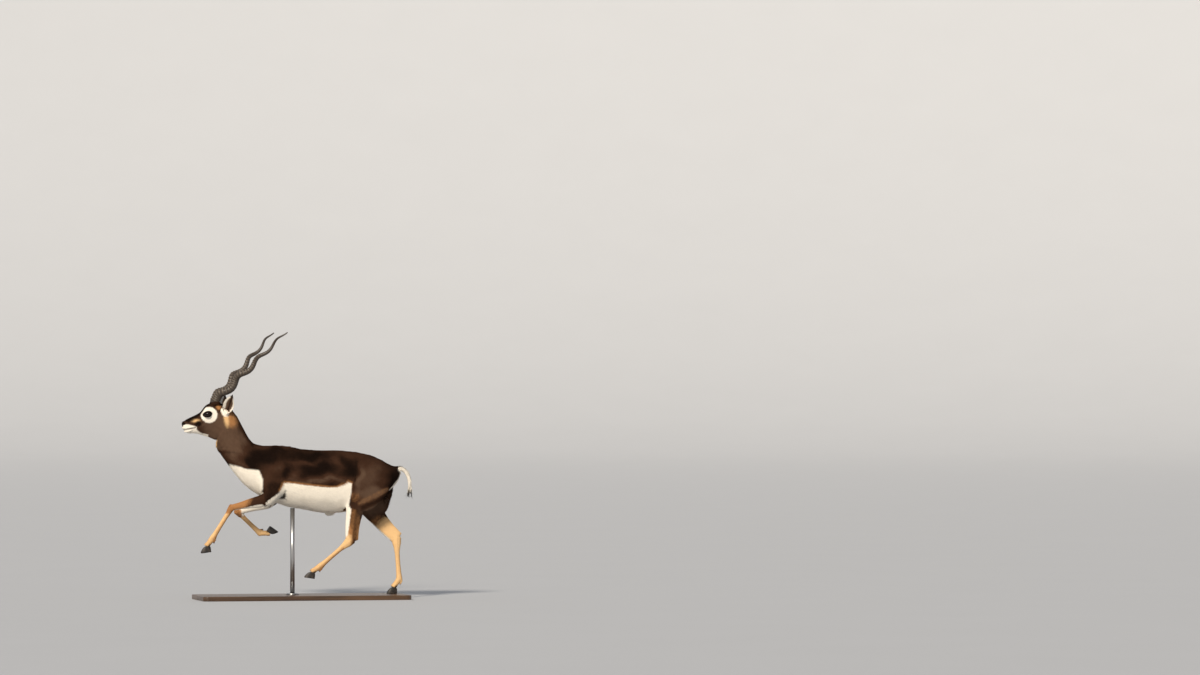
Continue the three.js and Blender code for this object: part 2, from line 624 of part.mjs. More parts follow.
/** The flat base, a rounded rectangle with a bevelled edge, under a given level. */
function standBase(floor) {
  const [length, width, corner] = [BASE.length / 2 - BASE.bevel, BASE.width / 2 - BASE.bevel, BASE.corner];
  const shape = new THREE.Shape()
    .moveTo(-length + corner, -width)
    .lineTo(length - corner, -width)
    .absarc(length - corner, -width + corner, corner, -Math.PI / 2, 0)
    .lineTo(length, width - corner)
    .absarc(length - corner, width - corner, corner, 0, Math.PI / 2)
    .lineTo(-length + corner, width)
    .absarc(-length + corner, width - corner, corner, Math.PI / 2, Math.PI)
    .lineTo(-length, -width + corner)
    .absarc(-length + corner, -width + corner, corner, Math.PI, 1.5 * Math.PI);
  const plate = new THREE.ExtrudeGeometry(shape, {
    depth: BASE.height - 2 * BASE.bevel, curveSegments: 4,
    bevelSegments: 1, bevelSize: BASE.bevel, bevelThickness: BASE.bevel,
  });
  return solidOfGeometry(plate.translate(BASE.centre, 0, floor + BASE.bevel - BASE.height));
}

/** Upright round bar of the stand from one height to another. */
function upright(radius, low, high) {
  const bar = new THREE.CylinderGeometry(radius, radius, high - low, 20).rotateX(Math.PI / 2);
  return solidOfGeometry(bar.translate(ROD.x, 0, (low + high) / 2));
}

/** Every node's solid, by name, with the slot of its material. */
function buildNodes() {
  const nodes = [];
  const add = (name, slot, solid) => {
    const free = nodes.reduce((a, n) => (a.intersect(n.solid).volume() > 0 ? a.subtract(n.solid) : a), solid);
    nodes.push({ name, slot, solid: largest(free) });
  };

  const whole = wholeBody(0);
  const grown = wholeBody(CLEAR);
  const headLine = [[-302, 884], [-398, 741]];
  const neckLine = [[-207, 736], [-304, 586]];
  const headEnd = frontOf(...headLine, 0);
  const headClear = frontOf(...headLine, -GAP);
  const neckEnd = frontOf(...neckLine, 0);
  const neckClear = frontOf(...neckLine, -GAP);

  let head = whole.intersect(headEnd).add(faceForms());
  const sockets = [-1, 1].flatMap((side) => [eyeOpening(side), eyeball(side, CLEAR)]);
  for (const cut of [...faceCuts(), ...sockets]) head = head.subtract(cut);
  add("head", "coat_dark", head);
  add("neck", "coat_dark", whole.intersect(neckEnd).subtract(headClear));

  let torso = whole.subtract(neckClear);
  torso = torso.add(ellipsoid([157, 0, 389], [24, 9, 10])).add(ellipsoid([432, 0, 455], [20, 20, 30], 12));
  const legs = Object.entries(POSES);
  for (const [name, pose] of legs) {
    const cuts = name.startsWith("fore") ? [foreleg(pose, CLEAR)] : [thigh(pose, CLEAR), shank(pose, CLEAR)];
    for (const cut of cuts) torso = torso.subtract(cut);
  }
  add("torso", "coat_dark", torso);
  add("tail", "coat_white", tail().subtract(grown));

  for (const side of [-1, 1]) {
    const word = side < 0 ? "left" : "right";
    const socket = grown.add(pedicle(side, CLEAR));
    add(`horn_${word}`, "horn", horn(side).subtract(socket));
    add(`ear_${word}`, "coat_tan", ear(side).subtract(socket.add(earSeat(side, CLEAR))));
    add(`eye_${word}`, "eye", eyeball(side));
  }

  for (const [name, pose] of legs) {
    const fore = name.startsWith("fore");
    const joints = fore ? foreJoints(pose) : hindJoints(pose);
    const [knee, fetlock, coronet] = joints.slice(-3);
    const leg = fore ? foreleg(pose) : shank(pose);
    const toes = [true, false].map((inner) => toe(coronet, pose, inner));
    const cutAt = fore ? 12 : 22;
    const trimmed = toes.reduce((a, t) => a.subtract(t), leg);
    const lower = trimmed.intersect(beyond(joints.at(-4), knee, fetlock, cutAt));
    const upper = trimmed.subtract(beyond(joints.at(-4), knee, fetlock, cutAt - GAP));
    const word = name.split("_")[1];
    if (fore) {
      add(`foreleg_${word}`, "coat_dark", upper);
    } else {
      add(`thigh_${word}`, "coat_dark", thigh(pose));
      add(`shank_${word}`, "coat_tan", upper.subtract(thigh(pose, CLEAR)));
    }
    add(`${fore ? "fore" : "hind"}_cannon_${word}`, "coat_tan", lower);
    toes.forEach((solid, i) => add(`hoof_${fore ? "fore" : "hind"}_${word}_${i ? "outer" : "inner"}`, "hoof", solid));
  }

  const hooves = nodes.filter((n) => n.name.startsWith("hoof_hind_right"));
  const floor = Math.min(...hooves.map((n) => n.solid.boundingBox().min[2])) - GAP;
  const bore = upright(ROD.radius + GAP, floor - 5, floor + 60);
  add("stand_base", "stand", standBase(floor));
  add("stand_collar", "steel", upright(ROD.collar, floor + GAP, floor + ROD.collarHeight).subtract(bore));
  add("stand_rod", "steel", upright(ROD.radius, floor + GAP, 500).subtract(grown));
  return nodes;
}

/** three.js mesh of a solid. */
function meshOf({ name, slot, solid }) {
  const { vertProperties, triVerts } = solid.getMesh();
  const geometry = new THREE.BufferGeometry();
  geometry.setAttribute("position", new THREE.BufferAttribute(new Float32Array(vertProperties), 3));
  geometry.setIndex(new THREE.BufferAttribute(new Uint32Array(triVerts), 1));
  const [color, roughness] = COLOURS[slot];
  const material = new THREE.MeshStandardMaterial({ color, roughness, metalness: slot === "steel" ? 1 : 0 });
  const mesh = new THREE.Mesh(geometry, material);
  mesh.name = name;
  return mesh;
}

const blackbuck = new THREE.Group();
for (const node of buildNodes()) blackbuck.add(meshOf(node));
const bounds = new THREE.Box3().setFromObject(blackbuck);
const centre = bounds.getCenter(new THREE.Vector3());
blackbuck.position.set(-centre.x, -centre.y, -bounds.min.z);

export default blackbuck;
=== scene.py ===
"""A blackbuck buck at the gallop, life size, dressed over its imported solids.

One skin is made from the solids of flesh and sculpted, and short tufts of hair lie over it.
The horns, eyes, hooves and the stand are finer shapes on the places that the solids give.
Lengths are metres, unless a name ends in _mm. The animal faces -X, its left side towards -Y.
"""
import logging
import math
from dataclasses import dataclass, field
from enum import Enum

import bmesh
import bpy
import numpy as np
from mathutils import Matrix, Vector


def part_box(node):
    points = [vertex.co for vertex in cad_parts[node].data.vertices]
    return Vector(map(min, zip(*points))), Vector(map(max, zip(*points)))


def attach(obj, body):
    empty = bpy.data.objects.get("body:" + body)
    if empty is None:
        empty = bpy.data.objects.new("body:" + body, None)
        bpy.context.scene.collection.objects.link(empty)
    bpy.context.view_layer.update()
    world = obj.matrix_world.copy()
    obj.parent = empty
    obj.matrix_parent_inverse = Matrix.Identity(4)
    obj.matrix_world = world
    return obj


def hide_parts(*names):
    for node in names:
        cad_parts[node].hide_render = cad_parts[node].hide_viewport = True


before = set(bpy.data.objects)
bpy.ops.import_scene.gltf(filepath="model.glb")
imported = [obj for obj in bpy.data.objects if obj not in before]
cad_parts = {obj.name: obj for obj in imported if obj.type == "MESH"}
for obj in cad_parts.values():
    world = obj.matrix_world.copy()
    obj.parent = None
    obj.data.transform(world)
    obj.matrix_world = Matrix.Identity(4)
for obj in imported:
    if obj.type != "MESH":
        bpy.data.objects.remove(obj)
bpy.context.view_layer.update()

log = logging.getLogger("blackbuck")
MM = 0.001
SEED = 417
SIDES = (("left", -1), ("right", 1))
HEAD_LEVEL_MM = 690  # nothing but the head and neck stands above it
AWAY = -60.0  # a marking's value far outside it
TAIL_ROOT_MM = 490  # the tail starts behind it


# ---------------------------------------------------------------- places and directions


@dataclass(frozen=True)
class HeadFrame:
    """The head's own directions: along towards the nose, up, and out to the side."""

    x_mm: float = -350.0
    z_mm: float = 850.0
    pitch: float = math.radians(12)
    eye: tuple = (84.0, 36.0, 39.5)

    def shift_mm(self) -> np.ndarray:
        """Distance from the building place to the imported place."""
        low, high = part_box("eye_left")
        middle = np.array((low + high) / 2) / MM
        along, up, out = self.eye
        return middle - self.plain(along, up, -out)

    def plain(self, along: float, up: float, out: float) -> np.ndarray:
        """Point in building millimetres."""
        cos, sin = math.cos(self.pitch), math.sin(self.pitch)
        return np.array([self.x_mm - cos * along - sin * up, out, self.z_mm - sin * along + cos * up])

    def split(self, points: np.ndarray) -> tuple:
        """Along, up and out of many points, which are in building millimetres."""
        cos, sin = math.cos(self.pitch), math.sin(self.pitch)
        dx, dz = points[:, 0] - self.x_mm, points[:, 2] - self.z_mm
        return -cos * dx - sin * dz, -sin * dx + cos * dz, points[:, 1]


HEAD = HeadFrame()
SHIFT_MM = HEAD.shift_mm()


def eye_axes(side: int) -> tuple:
    """Directions of an eye: towards the nose, up and outwards.

    Args:
        side: -1 for the left, 1 for the right.

    Returns:
        Three directions of length 1.
    """
    look = Vector((-0.26, side * 0.96, 0.05)).normalized()
    nose = head_point(1, 0, 0) - head_point(0, 0, 0)
    nose = (nose - look * nose.dot(look)).normalized()
    return nose, nose.cross(look).normalized() * -side, look


def place(point_mm: tuple | np.ndarray) -> Vector:
    """Packed place, in metres, of a point in building millimetres."""
    return Vector((np.asarray(point_mm, float) + SHIFT_MM) * MM)


def head_point(along: float, up: float, out: float) -> Vector:
    """Packed place of a point of the head frame, in millimetres."""
    return place(HEAD.plain(along, up, out))


def smooth(low: float, high: float, value: float | np.ndarray) -> float | np.ndarray:
    """Smooth step from 0 at low to 1 at high."""
    t = np.clip((value - low) / (high - low), 0, 1)
    return t * t * (3 - 2 * t)


@dataclass(frozen=True)
class Limb:
    """Joints of one leg from the first one down, in building millimetres."""

    name: str
    side: int
    first: tuple
    bones: tuple
    angles: tuple
    spread: tuple

    def joints(self) -> list:
        """Places of the joints, for the bones' lengths and directions."""
        found = [np.array([self.first[0], self.side * self.spread[0], self.first[1]], float)]
        for length, angle, out in zip(self.bones, self.angles, self.spread[1:]):
            last = found[-1]
            across = self.side * out - last[1]
            reach = math.sqrt(length**2 - across**2)
            turn = math.radians(angle)
            found.append(last + np.array([math.cos(turn) * reach, across, math.sin(turn) * reach]))
        return found


FORE_BONES, HIND_BONES = (197, 170, 52), (190, 209, 190, 52)
LIMBS = (
    Limb("foreleg_left", -1, (-136, 468), FORE_BONES, (193.6, 237.6, 234), (74, 50, 46, 44)),
    Limb("foreleg_right", 1, (-96, 462), FORE_BONES, (198.6, 318, 359), (74, 44, 110, 114)),
    Limb("hindleg_left", -1, (400, 588), HIND_BONES, (218.5, 269, 220.1, 215), (64, 80, 60, 50, 47)),
    Limb("hindleg_right", 1, (400, 588), HIND_BONES, (253.5, 316, 273.5, 233.6), (64, 78, 60, 50, 47)),
)


class Region(Enum):
    """Parts of the coat, each with the length and width of its tufts in millimetres."""

    FACE = ("face", 5.5, 1.1)
    EAR = ("ear", 4.6, 0.9)
    NECK = ("neck", 13.0, 1.7)
    TRUNK = ("trunk", 13.0, 1.8)
    HAUNCH = ("haunch", 9.0, 1.5)
    LEG = ("leg", 7.0, 1.3)
    TAIL = ("tail", 26.0, 1.8)

    def __init__(self, word: str, hair_mm: float, width_mm: float) -> None:
        """Takes the parts of the value."""
        self.word = word
        self.hair_mm = hair_mm
        self.width_mm = width_mm


@dataclass(frozen=True)
class Bone:
    """A length of the body that the coat follows."""

    region: Region
    start: tuple
    end: tuple
    reach: float


def lie_bones() -> list:
    """Lengths of the body with the way their hair lies, from start to end."""
    plain = HEAD.plain
    bones = [
        Bone(Region.FACE, plain(205, 0, 0), plain(80, 8, 0), 34),
        Bone(Region.FACE, plain(80, 8, 0), plain(-15, -10, 0), 62),
        Bone(Region.NECK, plain(-10, -15, 0), (-290, 0, 735), 62),
        Bone(Region.NECK, (-290, 0, 735), (-175, 0, 630), 72),
        Bone(Region.TRUNK, (-175, 0, 630), (-20, 0, 575), 100),
        Bone(Region.TRUNK, (-20, 0, 575), (200, 0, 545), 130),
        Bone(Region.TRUNK, (200, 0, 545), (400, 0, 560), 120),
        Bone(Region.HAUNCH, (400, 0, 560), (490, 0, 560), 70),
    ]
    tail = [(470, 612), (500, 608), (527, 594), (544, 566), (550, 532), (549, 470)]
    for (ax, az), (bx, bz) in zip(tail, tail[1:]):
        bones.append(Bone(Region.TAIL, (ax, 0, az), (bx, 0, bz), 14))
    for _, side in SIDES:
        bones.append(Bone(Region.EAR, plain(8, 10, side * 30), plain(-49, 108, side * 106), 22))
    for limb in LIMBS:
        joints = limb.joints()
        upper = 1 if limb.name.startswith("fore") else 2
        for index, (a, b) in enumerate(zip(joints, joints[1:])):
            thick = 52 if index < upper - 1 else 34 if index < upper else 15
            if index == upper and upper == 2:
                thick = 17
            bones.append(Bone(Region.LEG, tuple(a), tuple(b), thick))
        if upper == 1:
            bones.append(Bone(Region.TRUNK, (-90, limb.side * 60, 660), tuple(joints[0]), 55))
        else:
            bones.append(Bone(Region.HAUNCH, (380, limb.side * 60, 650), tuple(joints[1]), 82))
    return bones


# ---------------------------------------------------------------- shader maths


class Wire:
    """A shader socket whose arithmetic adds Math nodes."""

    def __init__(self, tree: "Finish", socket: bpy.types.NodeSocket) -> None:
        """Wraps a socket of a finish."""
        self.tree = tree
        self.socket = socket

    def _math(self, operation: str, first: "Wire | float", second: "Wire | float") -> "Wire":
        """Adds one Math node."""
        return self.tree.node("ShaderNodeMath", {"operation": operation}, {0: first, 1: second})

    def __add__(self, other: "Wire | float") -> "Wire":
        """Sum."""
        return self._math("ADD", self, other)

    __radd__ = __add__

    def __sub__(self, other: "Wire | float") -> "Wire":
        """Difference."""
        return self._math("SUBTRACT", self, other)

    def __rsub__(self, other: "Wire | float") -> "Wire":
        """Difference from a number."""
        return self._math("SUBTRACT", other, self)

    def __mul__(self, other: "Wire | float") -> "Wire":
        """Product."""
        return self._math("MULTIPLY", self, other)

    __rmul__ = __mul__

    def step(self, low: float, high: float) -> "Wire":
        """Smooth step from 0 at low to 1 at high."""
        settings = {"interpolation_type": "SMOOTHSTEP"}
        return self.tree.node("ShaderNodeMapRange", settings, {0: self, 1: low, 2: high})


class Finish:
    """One material and its nodes."""

    def __init__(self, name: str) -> None:
        """Starts a material with the usual shader.

        Args:
            name: The material's name.
        """
        self.material = bpy.data.materials.new(name)
        self.material.use_nodes = True
        self.nodes = self.material.node_tree.nodes
        self.links = self.material.node_tree.links
        self.shader = next(n for n in self.nodes if n.type == "BSDF_PRINCIPLED")

    def node(self, kind: str, settings: dict | None = None, values: dict | None = None, out: int | str = 0) -> Wire:
        """Adds a node.

        Args:
            kind: The node's type.
            settings: Its settings, which are set first.
            values: Values or wires of its sockets, by name or number.
            out: Name or number of the output that is used.

        Returns:
            The output as a wire.
        """
        made = self.nodes.new(kind)
        for key, value in (settings or {}).items():
            setattr(made, key, value)
        for key, value in (values or {}).items():
            self._feed(made.inputs[key], value)
        return Wire(self, made.outputs[out])

    def _feed(self, socket: bpy.types.NodeSocket, value: Wire | float | tuple) -> None:
        """Links a wire to a socket, or sets its value.

        Args:
            socket: The socket.
            value: A wire, or the value itself.
        """
        if isinstance(value, Wire):
            self.links.new(value.socket, socket)
        elif isinstance(value, tuple) and socket.type == "RGBA":
            socket.default_value = (*value, 1)
        else:
            socket.default_value = value

    def mix(self, share: Wire | float, first: Wire | tuple, second: Wire | tuple) -> Wire:
        """Colour between two colours."""
        return self.node("ShaderNodeMix", {"data_type": "RGBA"}, {0: share, 6: first, 7: second}, 2)

    def attribute(self, name: str) -> Wire:
        """A number that the mesh carries."""
        return self.node("ShaderNodeAttribute", {"attribute_name": name}, None, "Fac")

    def coordinates(self, scale: tuple = (1, 1, 1)) -> Wire:
        """Object coordinates, scaled."""
        base = self.node("ShaderNodeTexCoord", None, None, "Object")
        return self.node("ShaderNodeMapping", None, {"Vector": base, "Scale": scale})

    def noise(self, vector: Wire, scale: float, detail: float = 3, roughness: float = 0.5) -> Wire:
        """Smooth noise from 0 to 1."""
        values = {"Vector": vector, "Scale": scale, "Detail": detail, "Roughness": roughness}
        return self.node("ShaderNodeTexNoise", None, values, 0)

    def bump(self, height: Wire, distance: float, strength: float) -> Wire:
        """Normal of a surface whose height varies."""
        return self.node("ShaderNodeBump", None, {"Height": height, "Distance": distance, "Strength": strength})

    def finish(self, **values) -> bpy.types.Material:
        """Sets the shader's sockets, with _ for a space, and returns the material."""
        for key, value in values.items():
            self._feed(self.shader.inputs[key.replace("_", " ")], value)
        return self.material


@dataclass(frozen=True)
class CoatColours:
    """Colours of the hair, linear."""

    black: tuple = (0.0085, 0.0045, 0.003)
    brown: tuple = (0.046, 0.0215, 0.0125)
    # grey is the neck's own grey-brown and also the colour of painted sheen highlights on the flank and haunch.
    grey: tuple = (0.112, 0.068, 0.045)
    tan: tuple = (0.39, 0.185, 0.072)
    cream: tuple = (0.77, 0.50, 0.245)
    white: tuple = (0.87, 0.81, 0.71)
    bare: tuple = (0.012, 0.0085, 0.0075)


@dataclass(frozen=True)
class CoatFinish:
    """Short glossy hair, whose markings are signed distances that the mesh carries."""

    colours: CoatColours = field(default_factory=CoatColours)

    def make(self, name: str, tufted: bool) -> bpy.types.Material:
        """Material of the skin, or of the tufts over it.

        Args:
            name: Name of the piece.
            tufted: True for the tufts.

        Returns:
            The material.
        """
        make, colours = Finish(name), self.colours
        place_on = make.coordinates()
        ragged = make.noise(place_on, 95, 4, 0.65) - 0.5
        edge = make.noise(place_on, 420, 2, 0.5) - 0.5
        stray = ragged * 0.34 + edge * 0.22
        tone = make.attribute("tone")
        patchy = make.noise(place_on, 14, 3, 0.6)
        # The brown attribute steps from black to brown to grey. It holds the hair's own tone together with painted
        # sheen highlights and painted shade on the body.
        brown = make.attribute("brown") + (patchy - 0.5) * 0.3 + tone * 0.08
        colour = make.mix((brown * 2).step(0.0, 1.0), colours.black, colours.brown)
        colour = make.mix((brown * 2 - 1).step(0.0, 1.0), colour, colours.grey)
        colour = make.mix((make.attribute("tan") + stray).step(-0.22, 0.22), colour, colours.tan)
        colour = make.mix((make.attribute("cream") + stray).step(-0.3, 0.3), colour, colours.cream)
        colour = make.mix((make.attribute("white") + stray * 0.8).step(-0.13, 0.13), colour, colours.white)
        colour = make.mix((make.attribute("black") + stray).step(-0.2, 0.2), colour, colours.black)
        bare = (make.attribute("bare") + edge * 0.08).step(-0.05, 0.05)
        colour = make.mix(bare, colour, colours.bare)
        shade = 1.0 + tone * 0.14 + (make.noise(place_on, 900, 2, 0.6) - 0.5) * 0.35
        colour = make.node(
            "ShaderNodeMix", {"data_type": "RGBA", "blend_type": "MULTIPLY"},
            {0: 1.0, 6: colour, 7: make.node("ShaderNodeCombineColor", None, {0: shade, 1: shade, 2: shade})}, 2,
        )
        hair = make.noise(make.coordinates((1, 3.2, 3.2)), 420, 3, 0.7)
        normal = make.bump(hair, 0.0006 if tufted else 0.0012, 0.35 if tufted else 0.6)
        rough = 0.8 - bare * 0.48 + (hair - 0.5) * 0.1
        return make.finish(Base_Color=colour, Roughness=rough, Normal=normal, Specular_IOR_Level=0.03)


@dataclass(frozen=True)
class HornFinish:
    """Ringed dark horn, paler on its ridges from wear and painted highlight, and polished towards the tip."""

    deep: tuple = (0.048, 0.036, 0.027)
    ridge: tuple = (0.135, 0.103, 0.074)

    def make(self) -> bpy.types.Material:
        """Material of the horns."""
        make = Finish("horn")
        place_on = make.coordinates()
        ridge = make.attribute("ridge")
        streaks = make.noise(place_on, 160, 4, 0.65)
        # Paler ridges: partly wear and partly painted highlight on the raised rings.
        worn = (ridge + (streaks - 0.5) * 0.9).step(0.25, 0.95)
        colour = make.mix(worn, self.deep, self.ridge)
        fine = make.noise(make.coordinates((2.4, 2.4, 1)), 520, 4, 0.7)
        rough = 0.44 + (fine - 0.5) * 0.25
        normal = make.bump(fine * 0.6 + streaks * 0.4, 0.0008, 0.7)
        return make.finish(Base_Color=colour, Roughness=rough, Normal=normal)


@dataclass(frozen=True)
class HoofFinish:
    """Dark hoof with fine growth lines."""

    dark: tuple = (0.011, 0.009, 0.008)
    worn: tuple = (0.06, 0.045, 0.034)

    def make(self) -> bpy.types.Material:
        """Material of the hooves."""
        make = Finish("hoof")
        place_on = make.coordinates()
        lines = make.noise(make.coordinates((1, 1, 7)), 120, 3, 0.6)
        worn = (make.noise(place_on, 90, 4, 0.6) + lines * 0.4).step(0.62, 1.0)
        colour = make.mix(worn, self.dark, self.worn)
        normal = make.bump(lines, 0.0006, 0.6)
        return make.finish(Base_Color=colour, Roughness=0.36 + lines * 0.2, Normal=normal)


@dataclass(frozen=True)
class EyeFinish:
    """Wet dark brown eye with a wide level pupil."""

    iris: tuple = (0.017, 0.0075, 0.0035)
    pupil: tuple = (0.0012, 0.001, 0.001)
    rim: tuple = (0.007, 0.004, 0.003)

    def make(self) -> bpy.types.Material:
        """Material of both eyes, from the distances to the pupil that the eyeballs carry."""
        make = Finish("eye")
        out = make.attribute("gaze")
        wide = make.attribute("pupil")
        spokes = make.noise(make.coordinates(), 700, 3, 0.6)
        colour = make.mix(spokes, self.rim, self.iris)
        colour = make.mix(out.step(0.72, 0.6), self.rim, colour)
        colour = make.mix(wide.step(1.12, 0.9), colour, self.pupil)
        return make.finish(Base_Color=colour, Roughness=0.07, Specular_IOR_Level=0.3)


@dataclass(frozen=True)
class WoodFinish:
    """Dark oiled wood with its grain along the base."""

    deep: tuple = (0.035, 0.017, 0.008)
    light: tuple = (0.12, 0.062, 0.028)

    def make(self) -> bpy.types.Material:
        """Material of the base."""
        make = Finish("stand_wood")
        along = make.coordinates((1.1, 13, 13))
        warp = make.noise(make.coordinates((1, 3, 3)), 2.2, 2)
        rings = make.noise(along, 3.0, 6, 0.62)
        grain = make.noise(make.coordinates((3, 120, 120)), 4.5, 3, 0.6)
        share = (rings * 0.8 + warp * 0.45 + (grain - 0.5) * 0.35).step(0.35, 0.95)
        colour = make.mix(share, self.deep, self.light)
        normal = make.bump(grain, 0.0004, 0.5)
        return make.finish(
            Base_Color=colour, Roughness=0.34 + grain * 0.16, Normal=normal, Coat_Weight=0.25, Coat_Roughness=0.2
        )


@dataclass(frozen=True)
class SteelFinish:
    """Brushed steel of the rod and its collar."""

    def make(self) -> bpy.types.Material:
        """Material of the metal."""
        make = Finish("stand_steel")
        brushed = make.noise(make.coordinates((1, 1, 0.02)), 900, 3, 0.6)
        cloudy = make.noise(make.coordinates(), 40, 3, 0.6)
        colour = make.mix(brushed, (0.42, 0.425, 0.43), (0.56, 0.565, 0.57))
        normal = make.bump(brushed, 0.00015, 0.4)
        return make.finish(
            Base_Color=colour, Metallic=1.0, Roughness=0.24 + cloudy * 0.12 + brushed * 0.08, Normal=normal
        )


@dataclass(frozen=True)
class StudioFinish:
    """Pale matt floor and backdrop."""

    colour: tuple = (0.50, 0.515, 0.54)

    def make(self) -> bpy.types.Material:
        """Material of the stage."""
        make = Finish("studio")
        faint = make.noise(make.coordinates(), 1.5, 2)
        colour = make.mix(faint, self.colour, tuple(c * 0.97 for c in self.colour))
        return make.finish(Base_Color=colour, Roughness=0.85)


# ---------------------------------------------------------------- meshes


def new_piece(
    name: str, mesh: bpy.types.Mesh, material: bpy.types.Material, nodes: list
) -> bpy.types.Object:
    """Puts a finished mesh in the scene as a piece of the model.

    Args:
        name: Name of the piece.
        mesh: The mesh.
        material: Material of the piece.
        nodes: Names of the solids that the piece replaces.

    Returns:
        The object.
    """
    piece = bpy.data.objects.new(name, mesh)
    bpy.context.scene.collection.objects.link(piece)
    piece.data.materials.clear()
    piece.data.materials.append(material)
    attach(piece, "root")
    if nodes:
        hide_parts(*nodes)
    log.info("%s: %d faces", name, len(mesh.polygons))
    return piece


def shade_smooth(mesh: bpy.types.Mesh) -> None:
    """Gives a mesh smooth shading."""
    mesh.polygons.foreach_set("use_smooth", np.ones(len(mesh.polygons), bool))


def coordinates_of(mesh: bpy.types.Mesh) -> np.ndarray:
    """A mesh's points as an array, in metres."""
    found = np.empty(len(mesh.vertices) * 3, np.float32)
    mesh.vertices.foreach_get("co", found)
    return found.reshape(-1, 3).astype(float)


def set_coordinates(mesh: bpy.types.Mesh, points: np.ndarray) -> None:
    """Moves a mesh's points."""
    mesh.vertices.foreach_set("co", points.astype(np.float32).ravel())
    mesh.update()


def normals_of(mesh: bpy.types.Mesh) -> np.ndarray:
    """A mesh's normals at its points."""
    found = np.empty(len(mesh.vertices) * 3, np.float32)
    mesh.vertices.foreach_get("normal", found)
    return found.reshape(-1, 3).astype(float)


def carry(mesh: bpy.types.Mesh, name: str, values: np.ndarray) -> None:
    """Stores one number for each point of a mesh."""
    attribute = mesh.attributes.new(name, "FLOAT", "POINT")
    attribute.data.foreach_set("value", values.astype(np.float32))


def apply_modifier(piece: bpy.types.Object, kind: str, **settings) -> None:
    """Adds a modifier to an object and makes its result the object's mesh.

    Args:
        piece: The object.
        kind: Type of the modifier.
        settings: Settings of the modifier.
    """
    made = piece.modifiers.new(kind.lower(), kind)
    for key, value in settings.items():
        setattr(made, key, value)
    depsgraph = bpy.context.evaluated_depsgraph_get()
    shaped = bpy.data.meshes.new_from_object(piece.evaluated_get(depsgraph))
    piece.modifiers.clear()
    old, piece.data = piece.data, shaped
    bpy.data.meshes.remove(old)


def sweep(rings: list, start: Vector, end: Vector) -> bmesh.types.BMesh:
    """A closed solid through rings of equal size.

    Args:
        rings: Lists of points, one list for each ring.
        start: Point that closes the first ring.
        end: Point that closes the last ring.

    Returns:
        The solid, with its faces outwards.
    """
    solid = bmesh.new()
    made = bmesh.ops.create_circle(solid, cap_ends=False, segments=len(rings[0]), radius=1)
    row = made["verts"]
    for vert, point in zip(row, rings[0]):
        vert.co = point
    bmesh.ops.edgeloop_fill(solid, edges=list(solid.edges))
    cap = list(solid.faces)
    bmesh.ops.poke(solid, faces=cap)
    next(v for v in solid.verts if v not in row).co = start
    edges = [e for e in solid.edges if all(v in row for v in e.verts)]
    for ring in rings[1:]:
        grown = bmesh.ops.extrude_edge_only(solid, edges=edges)["geom"]
        fresh = [g for g in grown if isinstance(g, bmesh.types.BMVert)]
        edges = [g for g in grown if isinstance(g, bmesh.types.BMEdge) and all(v in fresh for v in g.verts)]
        fresh = set(fresh)
        row = [next(e.other_vert(v) for e in v.link_edges if e.other_vert(v) in fresh) for v in row]
        for vert, point in zip(row, ring):
            vert.co = point
    bmesh.ops.edgeloop_fill(solid, edges=edges)
    last = [f for f in solid.faces if all(v in row for v in f.verts)]
    before = set(solid.verts)
    bmesh.ops.poke(solid, faces=last)
    next(v for v in solid.verts if v not in before).co = end
    bmesh.ops.recalc_face_normals(solid, faces=list(solid.faces))
    return solid


def mesh_of(solid: bmesh.types.BMesh, name: str, smoothed: bool = True) -> bpy.types.Mesh:
    """Turns a bmesh into a mesh.

    Args:
        solid: The bmesh, which is freed.
        name: Name of the piece.
        smoothed: True for smooth shading.

    Returns:
        The mesh.
    """
    mesh = bpy.data.meshes.new(name)
    solid.to_mesh(mesh)
    solid.free()
    if smoothed:
        shade_smooth(mesh)
    return mesh


# ---------------------------------------------------------------- markings


def signed_distance(u: np.ndarray, z: np.ndarray, corners: list) -> np.ndarray:
    """Distance from a closed outline in a plane, positive inside.

    Args:
        u: Places along the body.
        z: Heights.
        corners: Corners of the outline, in order.

    Returns:
        Distance of each point, in millimetres.
    """
    points = np.stack([u, z], 1)
    outline = np.array(corners, float)
    following = np.roll(outline, -1, 0)
    nearest = np.full(len(u), 1e9)
    inside = np.zeros(len(u), bool)
    for a, b in zip(outline, following):
        edge = b - a
        t = np.clip(((points - a) @ edge) / (edge @ edge), 0, 1)
        nearest = np.minimum(nearest, np.linalg.norm(points - a - t[:, None] * edge, axis=1))
        crosses = (a[1] > z) != (b[1] > z)
        if b[1] != a[1]:
            inside ^= crosses & (u < (b[0] - a[0]) * (z - a[1]) / (b[1] - a[1]) + a[0])
    return np.where(inside, nearest, -nearest)


def between(value: np.ndarray, low: float | np.ndarray, high: float | np.ndarray) -> np.ndarray:
    """Signed distance inside an interval."""
    return np.minimum(value - low, high - value)


